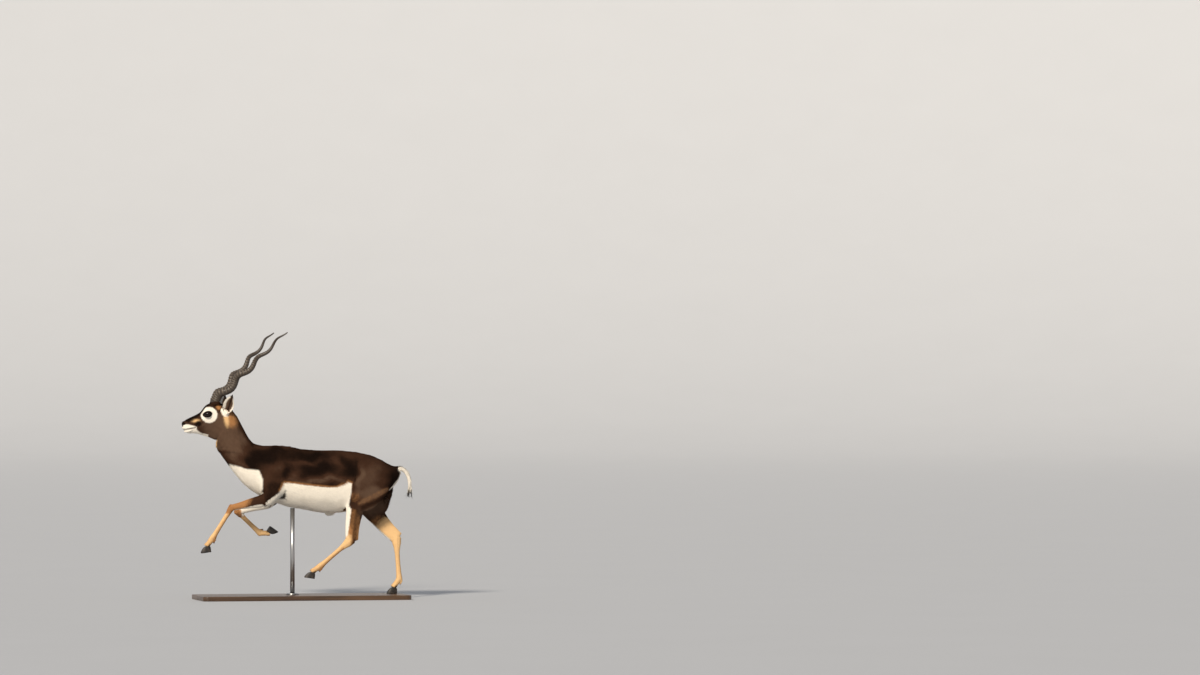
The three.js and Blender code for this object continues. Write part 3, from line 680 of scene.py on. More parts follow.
@dataclass(frozen=True)
class EarFrame:
    """Directions and size of one ear, in building millimetres."""

    side: int
    width_mm: float = 29.0

    def half_width(self, t: np.ndarray) -> np.ndarray:
        """Half width of the leaf at a share of its length."""
        shares = (0.4, 0.48, 0.7, 0.93, 1.0, 0.93, 0.7, 0.37, 0.08)
        return self.width_mm * np.interp(t, np.linspace(0, 1, 9), shares)

    def on_leaf(self, points: np.ndarray, margin: float) -> np.ndarray:
        """How surely many points belong to the ear, from 0 to 1."""
        t, _, _, away, _, _ = self.split(points)
        near = smooth(margin + 4, margin, away - self.half_width(t)) * (np.sign(points[:, 1]) == self.side)
        return near * smooth(0.04, 0.2, t) * smooth(1.25, 1.15, t)

    def split(self, points: np.ndarray) -> tuple:
        """Place of many points in the ear.

        Args:
            points: Points in building millimetres.

        Returns:
            Share of the length from root to tip, distance towards the open side, distance across,
            distance from the middle line, the open direction and the direction across.
        """
        root = HEAD.plain(8, 10, self.side * 30)
        axis = HEAD.plain(-49, 108, self.side * 106) - root
        length = np.linalg.norm(axis)
        axis /= length
        opening = np.array([-0.5, self.side * 0.8, -0.15])
        opening -= axis * (opening @ axis)
        opening /= np.linalg.norm(opening)
        wide = np.cross(axis, opening)
        offset = points - root
        t = (offset @ axis) / length
        centre = np.clip(t, 0, 1) ** 2 * 9
        forward = offset @ opening - centre
        across = offset @ wide
        return t, forward, across, np.hypot(forward, across), opening, wide


@dataclass(frozen=True)
class Markings:
    """Where the coat is white, tan, cream, black or bare, as signed distances over 30 mm."""

    span_mm: float = 30.0
    chest: tuple = (
        (-345, 600), (-328, 631), (-282, 622), (-242, 608), (-186, 604), (-166, 560), (-164, 520),
        (-186, 478), (-176, 440), (-150, 380), (-250, 380), (-345, 540),
    )
    belly: tuple = (
        (-62, 543), (-10, 536), (40, 529), (94, 523), (150, 517), (186, 518), (226, 533), (244, 546),
        (261, 540), (262, 500), (256, 470), (250, 440), (252, 330), (-130, 330), (-128, 462), (-84, 500),
    )
    muzzle: tuple = (
        (216, -4), (209, 9), (198, 13), (184, 8), (168, 0), (154, -7), (147, -13), (149, -22),
        (140, -36), (124, -49), (108, -55), (98, -62), (98, -90), (160, -70), (216, -50),
    )
    mouth: tuple = ((212, -12), (205, -13), (186, -14.5), (166, -15), (153, -11))

    def fields(self, points_mm: np.ndarray, normals: np.ndarray) -> dict:
        """Marking values at many points.

        Args:
            points_mm: Points in building millimetres.
            normals: The skin's normals there.

        Returns:
            Arrays by the names that the coat's material reads.
        """
        x, y, z = points_mm.T
        out = np.abs(y)
        u = 0.985 * x + 0.174 * out
        along, up, across = HEAD.split(points_mm)
        across = np.abs(across)
        legs = self._legs(points_mm)
        share = legs.pop("share")
        found = {name: np.full(len(x), AWAY) for name in ("white", "tan", "cream", "black", "bare")}
        trunk = self._trunk(x, z, u, out, normals)
        for name, value in trunk.items():
            found[name] = np.maximum(found[name], np.where(share > 0.5, -60, value))
        for name, value in legs.items():
            found[name] = np.maximum(found[name], np.where(share > 0.02, value - 40 * (1 - share), -60))
        found["brown"] = self._tone_and_painted_light(x, z, u, out, normals, share)
        self._tail(found, x, y, z, normals)
        on_head = smooth(-46, -34, along + (up + 60) * 0.3) * (z > 700)
        head = self._head(along, up, across, normals)
        blend = smooth(-85, 5, along + (up + 60) * 0.3) * (z > 700)
        head["brown"] = found["brown"] + (head["brown"] - found["brown"]) * blend
        for name, value in head.items():
            found[name] = np.where(on_head > (0 if name == "brown" else 0.5), value, found[name])
        self._neck_head(found, along, up, across)
        self._ears(found, points_mm, normals)
        for name in found:
            if name != "brown":
                found[name] = np.clip(found[name] / self.span_mm, -2, 2)
        return found

    def _trunk(self, x: np.ndarray, z: np.ndarray, u: np.ndarray, out: np.ndarray, normals: np.ndarray) -> dict:
        """Belly, chest, buttocks and the brown line over the belly, with a faint tan painted highlight on the hind
        knee and in a streak over the haunch.

        Args:
            x: Places along the body's own axis.
            z: Heights.
            u: Places along the body.
            out: Distances from the middle plane.
            normals: The skin's normals.

        Returns:
            Signed distances by colour.
        """
        belly = signed_distance(u, z, self.belly)
        chest = signed_distance(u, z, self.chest)
        under = np.minimum((-normals[:, 2] - 0.35) * 60, 470 - z)
        under = np.where((x > -240) & ((x < 282) | (out < 40)) & (x < 420), under, -60)
        behind = (1 - np.hypot(out / (30 + (z - 440) * 0.1), (z - 508) / 92)) * 34
        buttock = np.minimum(np.where(x > 440, behind, -60), (normals[:, 0] - 0.3) * 50)
        white = np.maximum.reduce([belly, chest, under, buttock])
        line = 3.5 - np.abs(belly + 3)
        line = np.minimum(line, np.minimum(z - 508, 262 - u))
        # The tan spot on the hind knee and the tan streak over the haunch are painted highlights, kept faint by the
        # cap.
        stifle_highlight = 15 - np.hypot((u - 276) * 0.8, z - 474)
        streak = self._streak(u, z, (304, 446), (424, 504), 6)
        tan = np.maximum(line, np.minimum(np.maximum(stifle_highlight - 4, streak - 5) * 0.4, -2.9))
        bar = np.minimum(between(u, -60 - 30 * smooth(512, 440, z), -56), between(z, 416, 508))
        bar = np.minimum(bar, out - 58)
        return {"white": white, "tan": tan, "black": bar, "cream": np.full_like(x, AWAY)}

    @staticmethod
    def _streak(u: np.ndarray, z: np.ndarray, start: tuple, end: tuple, half: float) -> np.ndarray:
        """Signed distance of a straight streak with round ends.

        Args:
            u: Places along the body.
            z: Heights.
            start: First end.
            end: Other end.
            half: Half of the width.

        Returns:
            Distance of each point, positive inside.
        """
        a, b = np.array(start, float), np.array(end, float)
        edge = b - a
        points = np.stack([u, z], 1) - a
        t = np.clip((points @ edge) / (edge @ edge), 0, 1)
        return half - np.linalg.norm(points - t[:, None] * edge, axis=1)

    @staticmethod
    def _tone_and_painted_light(
        x: np.ndarray, z: np.ndarray, u: np.ndarray, out: np.ndarray, normals: np.ndarray,
        share: np.ndarray,
    ) -> np.ndarray:
        """How light the dark hair is, from 0 for black through brown to 1 for grey-brown, with painted sheen
        highlights and painted shade mixed into the hair's own tone.

        Args:
            x: Places along the body's own axis; not used.
            z: Heights.
            u: Places along the body.
            out: Distances from the middle plane; not used.
            normals: The skin's normals.
            share: How far each point belongs to a leg, from 0 to 1.

        Returns:
            Tone of each point.
        """
        value = np.full_like(u, 0.2)
        wavy_u = u + 13 * np.sin(z / 27 + 1.3) + 6 * np.sin(z / 11 + u / 37)
        wavy_z = z + 9 * np.sin(u / 41 + 0.7) + 5 * np.sin(u / 15 + z / 29)
        # Tone patches read off the light on the body. The thin light rims along the top of the back and the light
        # patches and streaks on the flank and haunch are painted sheen highlights. The black patches are the coat's
        # own black deepened by painted shade.
        tone_and_light_blobs = (
            (0.85, -300, 770, 66, 90), (0.84, -285, 690, 44, 64), (0.66, -262, 640, 22, 30),
            (0.5, -110, 716, 110, 12), (0.6, -105, 612, 40, 30), (0.5, -160, 560, 30, 60),
            (0.52, 250, 684, 170, 18), (0.6, 186, 628, 20, 34), (0.46, 20, 640, 60, 10),
            (0.8, 90, 552, 190, 17), (0.7, -14, 585, 22, 30),
            (0.72, 350, 560, 66, 110), (0.9, 300, 572, 16, 54), (0.95, 365, 496, 66, 22), (0.92, 370, 412, 100, 76),
            (0.0, -150, 664, 92, 34), (0.0, -230, 636, 20, 34), (0.06, -64, 590, 16, 30),
            (0.0, 80, 672, 90, 18), (0.0, 84, 606, 92, 22), (0.0, 246, 606, 30, 38), (0.02, 470, 556, 26, 64),
        )
        for tone, at_u, at_z, half_u, half_z in tone_and_light_blobs:
            reach = np.hypot((wavy_u - at_u) / half_u, (wavy_z - at_z) / half_z)
            value += (tone - value) * smooth(1.75, 0.15, reach)
        # Two dark lines are painted shade in creases: one down the crease in front of the thigh, and one under the
        # haunch's light streak. The light streak over the haunch is a painted highlight.
        fold_shade = Markings._streak(u, z, (279, 640), (276, 552), 2)
        muscle_highlight = Markings._streak(u, z, (304, 446), (428, 506), 5)
        under = Markings._streak(u, z, (318, 424), (446, 486), 6)
        value += (0.02 - value) * np.maximum(smooth(-9, 3, fold_shade) * 0.85, smooth(-13, 4, under) * 0.7)
        value += (1.0 - value) * smooth(-12, 4, muscle_highlight) * 0.9
        nape = smooth(0.55, 0.85, 0.8 * normals[:, 0] + 0.6 * normals[:, 2]) * smooth(-200, -240, u)
        value = np.where(share > 0.5, np.maximum(value, 0.45), value)
        return np.clip(value - nape * 0.4, 0, 1)

    @staticmethod
    def _tail(found: dict, x: np.ndarray, y: np.ndarray, z: np.ndarray, normals: np.ndarray) -> None:
        """White tail with a dark line along its back and a dark tip.

        Args:
            found: Values by colour, which are changed.
            x: Places along the body's own axis.
            y: Places across the body.
            z: Heights.
            normals: The skin's normals.
        """
        on = (x > 494) & (z < 626) & (z > 440)
        upper = smooth(0.45, 0.8, 0.75 * normals[:, 0] + 0.65 * normals[:, 2])
        line = np.minimum(3.2 - np.abs(y), (upper - 0.5) * 30)
        tip = np.minimum(506 - z, 24)
        for name in ("tan", "cream", "bare"):
            found[name] = np.where(on, -60, found[name])
        found["black"] = np.where(on, np.maximum(line, tip), found["black"])
        found["white"] = np.where(on, 30, found["white"])

    def _head(self, along: np.ndarray, up: np.ndarray, out: np.ndarray, normals: np.ndarray) -> dict:
        """Markings of the face.

        Args:
            along: Places along the head.
            up: Heights over the head's own axis.
            out: Distances from the middle plane.
            normals: The skin's normals.

        Returns:
            Signed distances by colour, and the tone.
        """
        ring = 38 - np.hypot(along - 78, up - 32)
        ring = np.minimum(ring, out - 15)
        muzzle = signed_distance(along, up, self.muzzle)
        white = np.maximum(ring, muzzle)
        patch = 1 - np.hypot((along - 147 - (up - 19) * 0.7) / 15, (up - 19) / 8)
        patch = np.minimum(patch * 9, out - 12)
        brow = 11 - np.hypot(along - 26, up - 58)
        temple = np.minimum(brow, out - 12)
        gland = 12 - np.hypot((along - 136) * 0.72, up - 2)
        bridge = np.minimum(24 - out, (normals[:, 2] * 0.98 - normals[:, 0] * 0.2 - 0.35) * 40)
        nose = np.minimum(along - 184, np.minimum(up - 11, 15 - out))
        lip = 1.9 - np.abs(up + 13.5) - np.clip(152 - along, 0, 60)
        black = np.maximum.reduce([gland, np.minimum(bridge, up - 10), nose, np.where(along > 150, lip, -60)])
        nostril = 5.5 - np.hypot(along - 201 + (up - 15) * 0.2, up - 15)
        tip = np.minimum(np.minimum(along - 206, 14 - out), between(up, 3, 22))
        bare = np.maximum(np.minimum(nostril, out - 5), tip)
        eye = np.maximum(25 - np.hypot(along - 85.5, (up - 37.2) * 1.42), -60)
        bare = np.maximum(bare, np.minimum(eye - 2.5, out - 30))
        brown = np.clip(0.84 - smooth(14, 62, up) * 0.55 - smooth(95, 150, along) * 0.25, 0, 1)
        return {"white": white, "tan": temple, "cream": patch, "black": black, "bare": bare, "brown": brown}

    @staticmethod
    def _neck_head(found: dict, along: np.ndarray, up: np.ndarray, out: np.ndarray) -> None:
        """Cream streak and orange patch behind the cheek, and the pale edge of the throat.

        Args:
            found: Values by colour, which are changed.
            along: Places along the head.
            up: Heights over the head's own axis.
            out: Distances from the middle plane.
        """
        cream = 1 - np.hypot((along - 3 + (up + 3) * 0.1) / 11, (up + 2) / 34)
        orange = 27 - np.hypot(along + 22, (up + 12) * 0.85)
        throat = np.minimum(between(up, -118, -97), 11 - out)
        throat = np.minimum(throat, along - 44)
        found["cream"] = np.maximum(found["cream"], np.minimum(cream * 14, out - 18))
        found["tan"] = np.maximum(found["tan"], np.minimum(orange * 0.4, out - 14))
        found["cream"] = np.maximum(found["cream"], throat)

    @staticmethod
    def _ears(found: dict, points: np.ndarray, normals: np.ndarray) -> None:
        """White base and edges, dark inside, brown back with a darker tip.

        Args:
            found: Values by colour, which are changed.
            points: Points in building millimetres.
            normals: The skin's normals.
        """
        for _, side in SIDES:
            ear = EarFrame(side)
            t, forward, across, away, opening, wide = ear.split(points)
            same = (np.sign(points[:, 1]) == side) & (t < 1.2) & (forward > -20)
            leaf = ear.half_width(t)
            spare = 5 + 6 * smooth(0.25, 0.45, t)
            on = same & (t > 0.1) & (away < leaf + spare)
            inward = -(normals @ opening) * forward - (normals @ wide) * across
            inside = (inward > 0) & (t > 0.2) & (forward > -15)
            rim = np.abs(across) - leaf * 0.86
            edge = np.where(inside, rim + 7, rim + 3.5) - np.clip(t - 0.82, 0, 1) * 90
            base = np.minimum((0.3 - t) * 90, forward * 1.5 + 6)
            edge = np.minimum(edge, forward + 6 + np.clip(t - 0.28, 0, 1) * 200)
            white = np.maximum(edge - np.clip(0.3 - t, 0, 1) * 60, np.minimum(base, leaf + 4 - away))
            near = same & (t > 0.02) & (away < leaf + 4 + spare)
            found["white"] = np.where(near, np.minimum(white, (t - 0.06) * 130), found["white"])
            found["tan"] = np.where(on, np.where(inside, -60, (0.5 - t) * 20 - 2), found["tan"])
            found["black"] = np.where(on, np.where(inside, 4 - np.abs(across), (t - 0.84) * 60), found["black"])
            found["cream"] = np.where(on, -60, found["cream"])
            found["bare"] = np.where(on, -60, found["bare"])
            found["brown"] = np.where(on, np.where(inside, 0.85, 0.72), found["brown"])

    def _legs(self, points: np.ndarray) -> dict:
        """Markings of the legs, from places along and round their bones.

        Args:
            points: Points in building millimetres.

        Returns:
            Signed distances by colour, and the share of the leg.
        """
        count = len(points)
        best = np.full(count, 1e9)
        found = {name: np.full(count, AWAY) for name in ("white", "tan", "cream", "black", "bare")}
        share = np.zeros(count)
        for limb in LIMBS:
            joints = limb.joints()
            fore = limb.name.startswith("fore")
            thick = (36, 15, 14) if fore else (66, 40, 16, 14)
            for index, (a, b) in enumerate(zip(joints, joints[1:])):
                bone = b - a
                length = np.linalg.norm(bone)
                axis = bone / length
                wide = np.array([0, 1, 0]) - axis * axis[1]
                wide /= np.linalg.norm(wide)
                front = np.cross(wide, axis)
                offset = points - a
                t = (offset @ axis) / length
                ahead = offset @ front
                outer = (offset @ wide) * limb.side
                gap = np.linalg.norm(offset - np.clip(t, -0.05, 1.05)[:, None] * bone, axis=1) / thick[index]
                same = np.sign(points[:, 1]) == limb.side
                near = (gap < best) & (same | (index > 0))
                best = np.where(near, gap, best)
                part = index if fore else index - 1
                values = self._leg_part(part, fore, t, ahead, outer, length)
                for name, value in values.items():
                    found[name] = np.where(near, value, found[name])
                grown = smooth(1.6, 1.1, gap) * (smooth(0.0, 0.3, t) if part == 0 else 1 if part > 0 else 0)
                share = np.where(near, grown, share)
        found["share"] = share
        return found

    @staticmethod
    def _leg_part(
        part: int, fore: bool, t: np.ndarray, ahead: np.ndarray, outer: np.ndarray, length: float
    ) -> dict:
        """Values on one bone.

        Args:
            part: -1 for the femur, 0 for forearm or shank, 1 for the cannon bone, 2 below it.
            fore: True for a foreleg.
            t: Place along the bone, from 0 to 1.
            ahead: Distance in front of the bone, in millimetres.
            outer: Distance outwards, in millimetres.
            length: The bone's length, in millimetres.

        Returns:
            Signed distances of each colour.
        """
        low = np.full_like(t, AWAY)
        found = {"white": low, "tan": low, "cream": low, "black": low, "bare": low}
        if part == 0 and fore:
            inner = np.where(ahead > 0, -outer - 1, -outer - 5)
            found["white"] = np.minimum(np.maximum(-ahead - 17 + t * 3, inner), (0.93 - t) * length)
            found["tan"] = (t - 0.58 + ahead * 0.004) * length * 0.3
        elif part == 0:
            # The white keeps to the outer front, and the cream starts halfway down the inner face. The upper inner
            # face of the shank therefore stays grey-brown, which is painted shade on hair that is white.
            stripe = ahead + 2 - t * 19
            found["white"] = np.minimum(np.minimum(stripe, outer + 9), (0.9 - t) * length)
            rear = np.minimum(-ahead - 30 + t * 2, (t - 0.45) * length)
            middle = between(ahead, -22 + t * 16, 40) * 0.4
            cap = -1.0 + np.clip(t - 0.62, 0, 1) * 60
            found["tan"] = np.minimum(np.maximum(middle, rear * 0.5), cap)
            dark = np.minimum(between(ahead, -36 + t * 6, -18 + t * 12), between(t, 0.2, 0.95) * length)
            found["black"] = np.minimum(dark * 0.5, outer + 4) - 3.5
            found["cream"] = np.maximum(
                np.minimum((t - 0.86) * length, ahead + 2), np.minimum((t - 0.45) * length * 0.5, -outer + 3)
            )
        elif part > 0:
            found["tan"] = np.full_like(t, 20.0)
            found["cream"] = np.maximum(-outer - 1, ahead + 4 if part == 1 else 5) * 0.6
        if part == 1 and fore:
            brush = np.minimum(between(t * length, -30, 26), ahead - 2)
            found["black"] = np.minimum(brush, -outer + 4)
            found["cream"] = np.minimum(found["cream"], (t - 0.1) * length)
        if part == 2:
            found["bare"] = np.minimum((t - 0.93) * length, 20)
            found["black"] = np.minimum((t - 0.62) * length, -ahead - 4)
        return found


# ---------------------------------------------------------------- skin


@dataclass
class Skin:
    """The animal's one skin, made from the solids of flesh."""

    voxel: float = 0.0016
    quick_voxel: float = 0.005
    close: float = 0.0004
    relaxing: int = 24
    quick_relaxing: int = 4
    rounding: int = 22
    face_limit: int = 176000
    mesh: bpy.types.Mesh | None = None

    def nodes(self) -> list:
        """Names of the solids that the skin replaces."""
        hard = ("eye_", "horn_", "hoof_", "stand_")
        return [name for name in sorted(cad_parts) if not name.startswith(hard)]

    def joined(self) -> bpy.types.Mesh:
        """All flesh as one mesh, each solid grown a little so that they overlap."""
        whole = bmesh.new()
        for name in self.nodes():
            part = bmesh.new()
            part.from_mesh(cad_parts[name].data)
            bmesh.ops.remove_doubles(part, verts=list(part.verts), dist=1e-6)
            part.normal_update()
            grown = [v.co + v.normal * self.close for v in part.verts]
            for vert, point in zip(part.verts, grown):
                vert.co = point
            copy = bpy.data.meshes.new("part")
            part.to_mesh(copy)
            part.free()
            whole.from_mesh(copy)
            bpy.data.meshes.remove(copy)
        mesh = bpy.data.meshes.new("skin")
        whole.to_mesh(mesh)
        whole.free()
        return mesh

    def build(self) -> None:
        """Makes the skin's mesh."""
        voxel = self.voxel
        piece = bpy.data.objects.new("skin_work", self.joined())
        bpy.context.scene.collection.objects.link(piece)
        apply_modifier(piece, "REMESH", mode="VOXEL", voxel_size=voxel, adaptivity=0.0)
        self.relax(piece.data)
        self.sink(piece.data)
        self.thin(piece)
        piece.data.validate()
        self.round_off(piece.data)
        self.clear_eyes(piece.data)
        self.mesh = piece.data
        self.mesh.name = "skin"
        bpy.data.objects.remove(piece)
        shade_smooth(self.mesh)

    @staticmethod
    def stiffness(points: np.ndarray) -> np.ndarray:
        """How much of the smoothing each point takes, from 0 to 1.

        Args:
            points: Points in metres.

        Returns:
            Share of each point.
        """
        plain = points / MM - SHIFT_MM
        along, up, out = HEAD.split(plain)
        head = smooth(-30, 20, along) * (plain[:, 2] > HEAD_LEVEL_MM)
        ear = head * smooth(52, 62, np.hypot(out, (up - 30) * 0.4)) * (along < 45)
        low_leg = smooth(330, 300, plain[:, 2])
        tail = smooth(TAIL_ROOT_MM, 505, plain[:, 0])
        lids = smooth(30, 22, np.hypot(along - 84, (up - 36) * 1.2)) * smooth(20, 28, np.abs(out))
        return np.clip(1 - 0.62 * head - 0.28 * ear - 0.7 * low_leg - 0.95 * tail + 0.5 * lids * head, 0.02, 1)

    def relax(self, mesh: bpy.types.Mesh) -> None:
        """Rounds the solids' facets and the joins between them, without shrinking the body.

        Args:
            mesh: The mesh.
        """
        points = coordinates_of(mesh)
        weight = self.stiffness(points)[:, None]
        for _ in range(self.relaxing):
            points = self.average(mesh, points, 0.62 * weight)
            points = self.average(mesh, points, -0.6 * weight)
        set_coordinates(mesh, points)

    @staticmethod
    def average(mesh: bpy.types.Mesh, points: np.ndarray, share: np.ndarray) -> np.ndarray:
        """Moves each point by a share of the way to the middle of its neighbours.

        Args:
            mesh: The mesh.
            points: Places of its points.
            share: Share of the way that each point goes.

        Returns:
            The new places.
        """
        edges = np.empty(len(mesh.edges) * 2, np.int32)
        mesh.edges.foreach_get("vertices", edges)
        first, second = edges.reshape(-1, 2).T
        count = len(points)
        valence = np.bincount(first, minlength=count) + np.bincount(second, minlength=count)
        total = np.empty_like(points)
        for axis in range(3):
            column = points[:, axis]
            total[:, axis] = np.bincount(first, column[second], count)
            total[:, axis] += np.bincount(second, column[first], count)
        return points + share * (total / np.maximum(valence, 1)[:, None] - points)

    def round_off(self, mesh: bpy.types.Mesh) -> None:
        """Rounds the wide facets of the trunk and thighs and the creases where limbs meet it.

        Args:
            mesh: The mesh.
        """
        points = coordinates_of(mesh)
        plain = points / MM - SHIFT_MM
        along, _, _ = HEAD.split(plain)
        body = smooth(-10, -60, along) * smooth(395, 440, plain[:, 2]) * smooth(492, 470, plain[:, 0])
        for _ in range(self.rounding):
            points = self.average(mesh, points, 0.6 * body[:, None])
        set_coordinates(mesh, points)

    @staticmethod
    def depth(points: np.ndarray) -> np.ndarray:
        """Depth of the coat at each point, in metres.

        Args:
            points: Points in metres.

        Returns:
            Depth at each point.
        """
        plain = points / MM - SHIFT_MM
        along, _, _ = HEAD.split(plain)
        head = smooth(-60, 20, along) * (plain[:, 2] > HEAD_LEVEL_MM)
        low_leg = smooth(440, 330, plain[:, 2])
        tail = smooth(TAIL_ROOT_MM, 505, plain[:, 0])
        sunk = np.clip(3.2 - 2.6 * head - 2.3 * low_leg - 1.8 * tail, 0.4, 4)
        for _, side in SIDES:
            sunk += (0.1 - sunk) * EarFrame(side).on_leaf(plain, 5)
        return MM * sunk

    def sink(self, mesh: bpy.types.Mesh) -> None:
        """Moves the skin in by the coat's depth."""
        points = coordinates_of(mesh)
        set_coordinates(mesh, points - normals_of(mesh) * self.depth(points)[:, None])

    @staticmethod
    def clear_eyes(mesh: bpy.types.Mesh) -> None:
        """Opens the front of the upper lids, and keeps the lids' inner side off the eyeballs.

        Args:
            mesh: The mesh.
        """
        lift, slant = 0.0034, math.radians(50)
        points = coordinates_of(mesh)
        for word, side in SIDES:
            low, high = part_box(f"eye_{word}")
            middle, radius = np.array((low + high) / 2), (high - low).x / 2 + 0.0003
            away = points - middle
            nose, rise, look = (np.array(axis) for axis in eye_axes(side))
            ahead, up, out = away @ nose, away @ rise, away @ look
            angle, flat = np.degrees(np.arctan2(up, ahead)), np.hypot(ahead, up)
            share = smooth(62, 12, np.abs(angle - 47)) * smooth(0.002, 0.010, out)
            share *= smooth(0.031, 0.017, flat) * smooth(0.006, 0.012, flat)
            away = away + (lift * share)[:, None] * (nose * math.cos(slant) + rise * math.sin(slant))
            points = middle + away
            length = np.linalg.norm(away, axis=1)
            inside = length < radius
            points[inside] = middle + away[inside] / length[inside, None] * radius
        set_coordinates(mesh, points)

    def thin(self, piece: bpy.types.Object) -> None:
        """Brings the skin under its count of faces, and keeps the head dense.

        Args:
            piece: The object.
        """
        points = coordinates_of(piece.data)
        plain = points / MM - SHIFT_MM
        along, up, _ = HEAD.split(plain)
        head = smooth(-50, 0, along) * (plain[:, 2] > HEAD_LEVEL_MM)
        fine = np.maximum(smooth(120, 135, along), smooth(36, 28, np.hypot(along - 84, up - 36)))
        for _, side in SIDES:
            fine = np.maximum(fine, EarFrame(side).on_leaf(plain, 5))
        group = piece.vertex_groups.new(name="loose")
        steps = np.round((1 - 0.55 * head - 0.4 * head * fine) * 8).astype(int)
        for level in np.unique(steps):
            group.add(np.nonzero(steps == level)[0].tolist(), level / 8, "REPLACE")
        faces = len(piece.data.polygons) * 2
        if faces > self.face_limit:
            apply_modifier(
                piece, "DECIMATE", decimate_type="COLLAPSE", ratio=self.face_limit / faces,
                vertex_group="loose", vertex_group_factor=1.0, use_collapse_triangulate=True,
            )


# ---------------------------------------------------------------- coat


@dataclass
class Coat:
    """Short tufts over the skin."""

    count: int = 320000
    quick_count: int = 30000
    piece_limit: int = 46000
    root_depth: float = 0.0008
    patch_half: float = 0.0015

    def lie(self, points_mm: np.ndarray) -> tuple:
        """Directions of the hair, its length and its width, at many points.

        Args:
            points_mm: Points in building millimetres.

        Returns:
            Directions, lengths and widths in millimetres.
        """
        direction = np.zeros_like(points_mm)
        length = np.zeros(len(points_mm))
        width = np.zeros(len(points_mm))
        total = np.zeros(len(points_mm))
        for bone in lie_bones():
            a, b = np.array(bone.start, float), np.array(bone.end, float)
            edge = b - a
            size = np.linalg.norm(edge)
            t = np.clip(((points_mm - a) @ edge) / size**2, 0, 1)
            gap = np.linalg.norm(points_mm - a - t[:, None] * edge, axis=1) / bone.reach
            weight = np.exp(-2.2 * gap**2) + 1e-9
            direction += weight[:, None] * edge / size
            length += weight * bone.region.hair_mm
            width += weight * bone.region.width_mm
            total += weight
        along, up, out = HEAD.split(points_mm)
        lids = np.hypot((along - 84) / 19, (up - 36) / 14)
        close = smooth(2.3, 1.2, lids) * smooth(20, 30, np.abs(out))
        close = np.maximum(close, smooth(178, 200, along) * (points_mm[:, 2] > HEAD_LEVEL_MM))
        return direction, length / total * (1 - 0.66 * close), width / total * (1 - 0.35 * close)

    def unwrap(self, mesh: bpy.types.Mesh) -> np.ndarray:
        """UV of each corner of an unwrap of the skin's own shape.

        Args:
            mesh: The mesh.

        Returns:
            Array of places from 0 to 1.
        """
        piece = bpy.data.objects.new("unwrap", mesh)
        bpy.context.scene.collection.objects.link(piece)
        bpy.context.view_layer.objects.active = piece
        piece.select_set(True)
        mesh.uv_layers.new(name="OFBake")
        bpy.ops.object.mode_set(mode="EDIT")
        bpy.ops.mesh.select_all(action="SELECT")
        bpy.ops.uv.smart_project(angle_limit=math.radians(66), island_margin=0.0)
        bpy.ops.object.mode_set(mode="OBJECT")
        found = np.empty(len(mesh.loops) * 2, np.float32)
        mesh.uv_layers["OFBake"].data.foreach_get("uv", found)
        bpy.data.objects.remove(piece)
        return found.reshape(-1, 2)

    def grow(self, skin: bpy.types.Mesh, fields: dict, material: bpy.types.Material) -> None:
        """Sets the tufts and makes the coat's pieces.

        Args:
            skin: The skin's mesh.
            fields: The skin's markings.
            material: Material of the piece.
        """
        rng = np.random.default_rng(SEED)
        skin.calc_loop_triangles()
        count = len(skin.loop_triangles)
        corners = np.empty(count * 3, np.int32)
        skin.loop_triangles.foreach_get("vertices", corners)
        corners = corners.reshape(-1, 3)
        points, normals = coordinates_of(skin), normals_of(skin)
        a, b, c = (points[corners[:, k]] for k in range(3))
        area = np.linalg.norm(np.cross(b - a, c - a), axis=1) / 2
        middle = (a + b + c) / 3 / MM - SHIFT_MM
        _, length, width = self.lie(middle)
        bare = fields["bare"][corners].mean(1)
        chance = area / (length * width) * (bare < -0.05)
        wanted = self.count
        face = rng.choice(count, wanted, p=chance / chance.sum())
        r1, r2 = np.sqrt(rng.random(wanted)), rng.random(wanted)
        share = np.stack([1 - r1, r1 * (1 - r2), r1 * r2], 1)
        chosen = corners[face]
        root = (points[chosen] * share[:, :, None]).sum(1)
        normal = (normals[chosen] * share[:, :, None]).sum(1)
        normal /= np.linalg.norm(normal, axis=1)[:, None]
        direction, length, width = self.lie(root / MM - SHIFT_MM)
        direction += rng.normal(0, 0.06, (wanted, 3)) * np.linalg.norm(direction, axis=1)[:, None]
        direction -= normal * (direction * normal).sum(1)[:, None]
        direction /= np.maximum(np.linalg.norm(direction, axis=1), 1e-9)[:, None]
        side = np.cross(normal, direction)
        length = length * MM * rng.uniform(0.75, 1.2, wanted)
        width = width * MM * rng.uniform(0.7, 1.25, wanted)
        lift = length * rng.uniform(0.1, 0.24, wanted)
        sunk = normal * self.root_depth
        base = root - sunk
        tuft = np.stack([
            base - side * width[:, None] / 2,
            base + side * width[:, None] / 2,
            base + normal * (width * 0.5)[:, None] + direction * (length * 0.1)[:, None],
            root + direction * length[:, None] + normal * lift[:, None] * 0.8 - sunk,
        ], 1)
        values = Markings().fields(root / MM - SHIFT_MM, normal)
        values["tone"] = rng.normal(0, 0.5, wanted).clip(-1, 1)
        soft = normal * 0.9 - direction * 0.12
        lean = np.stack([soft - side * 0.3, soft + side * 0.3, soft, soft], 1)
        uvs = self.unwrap(skin)
        loops = np.empty(count * 3, np.int32)
        skin.loop_triangles.foreach_get("loops", loops)
        uv = (uvs[loops.reshape(-1, 3)[face]] * share[:, :, None]).sum(1)
        order = np.argsort(root[:, 0], kind="stable")
        for number, part in enumerate(np.array_split(order, math.ceil(wanted / self.piece_limit))):
            given = {n: v[part] for n, v in values.items()}
            self.piece(f"coat_{number + 1}", tuft[part], lean[part], given, uv[part], material)

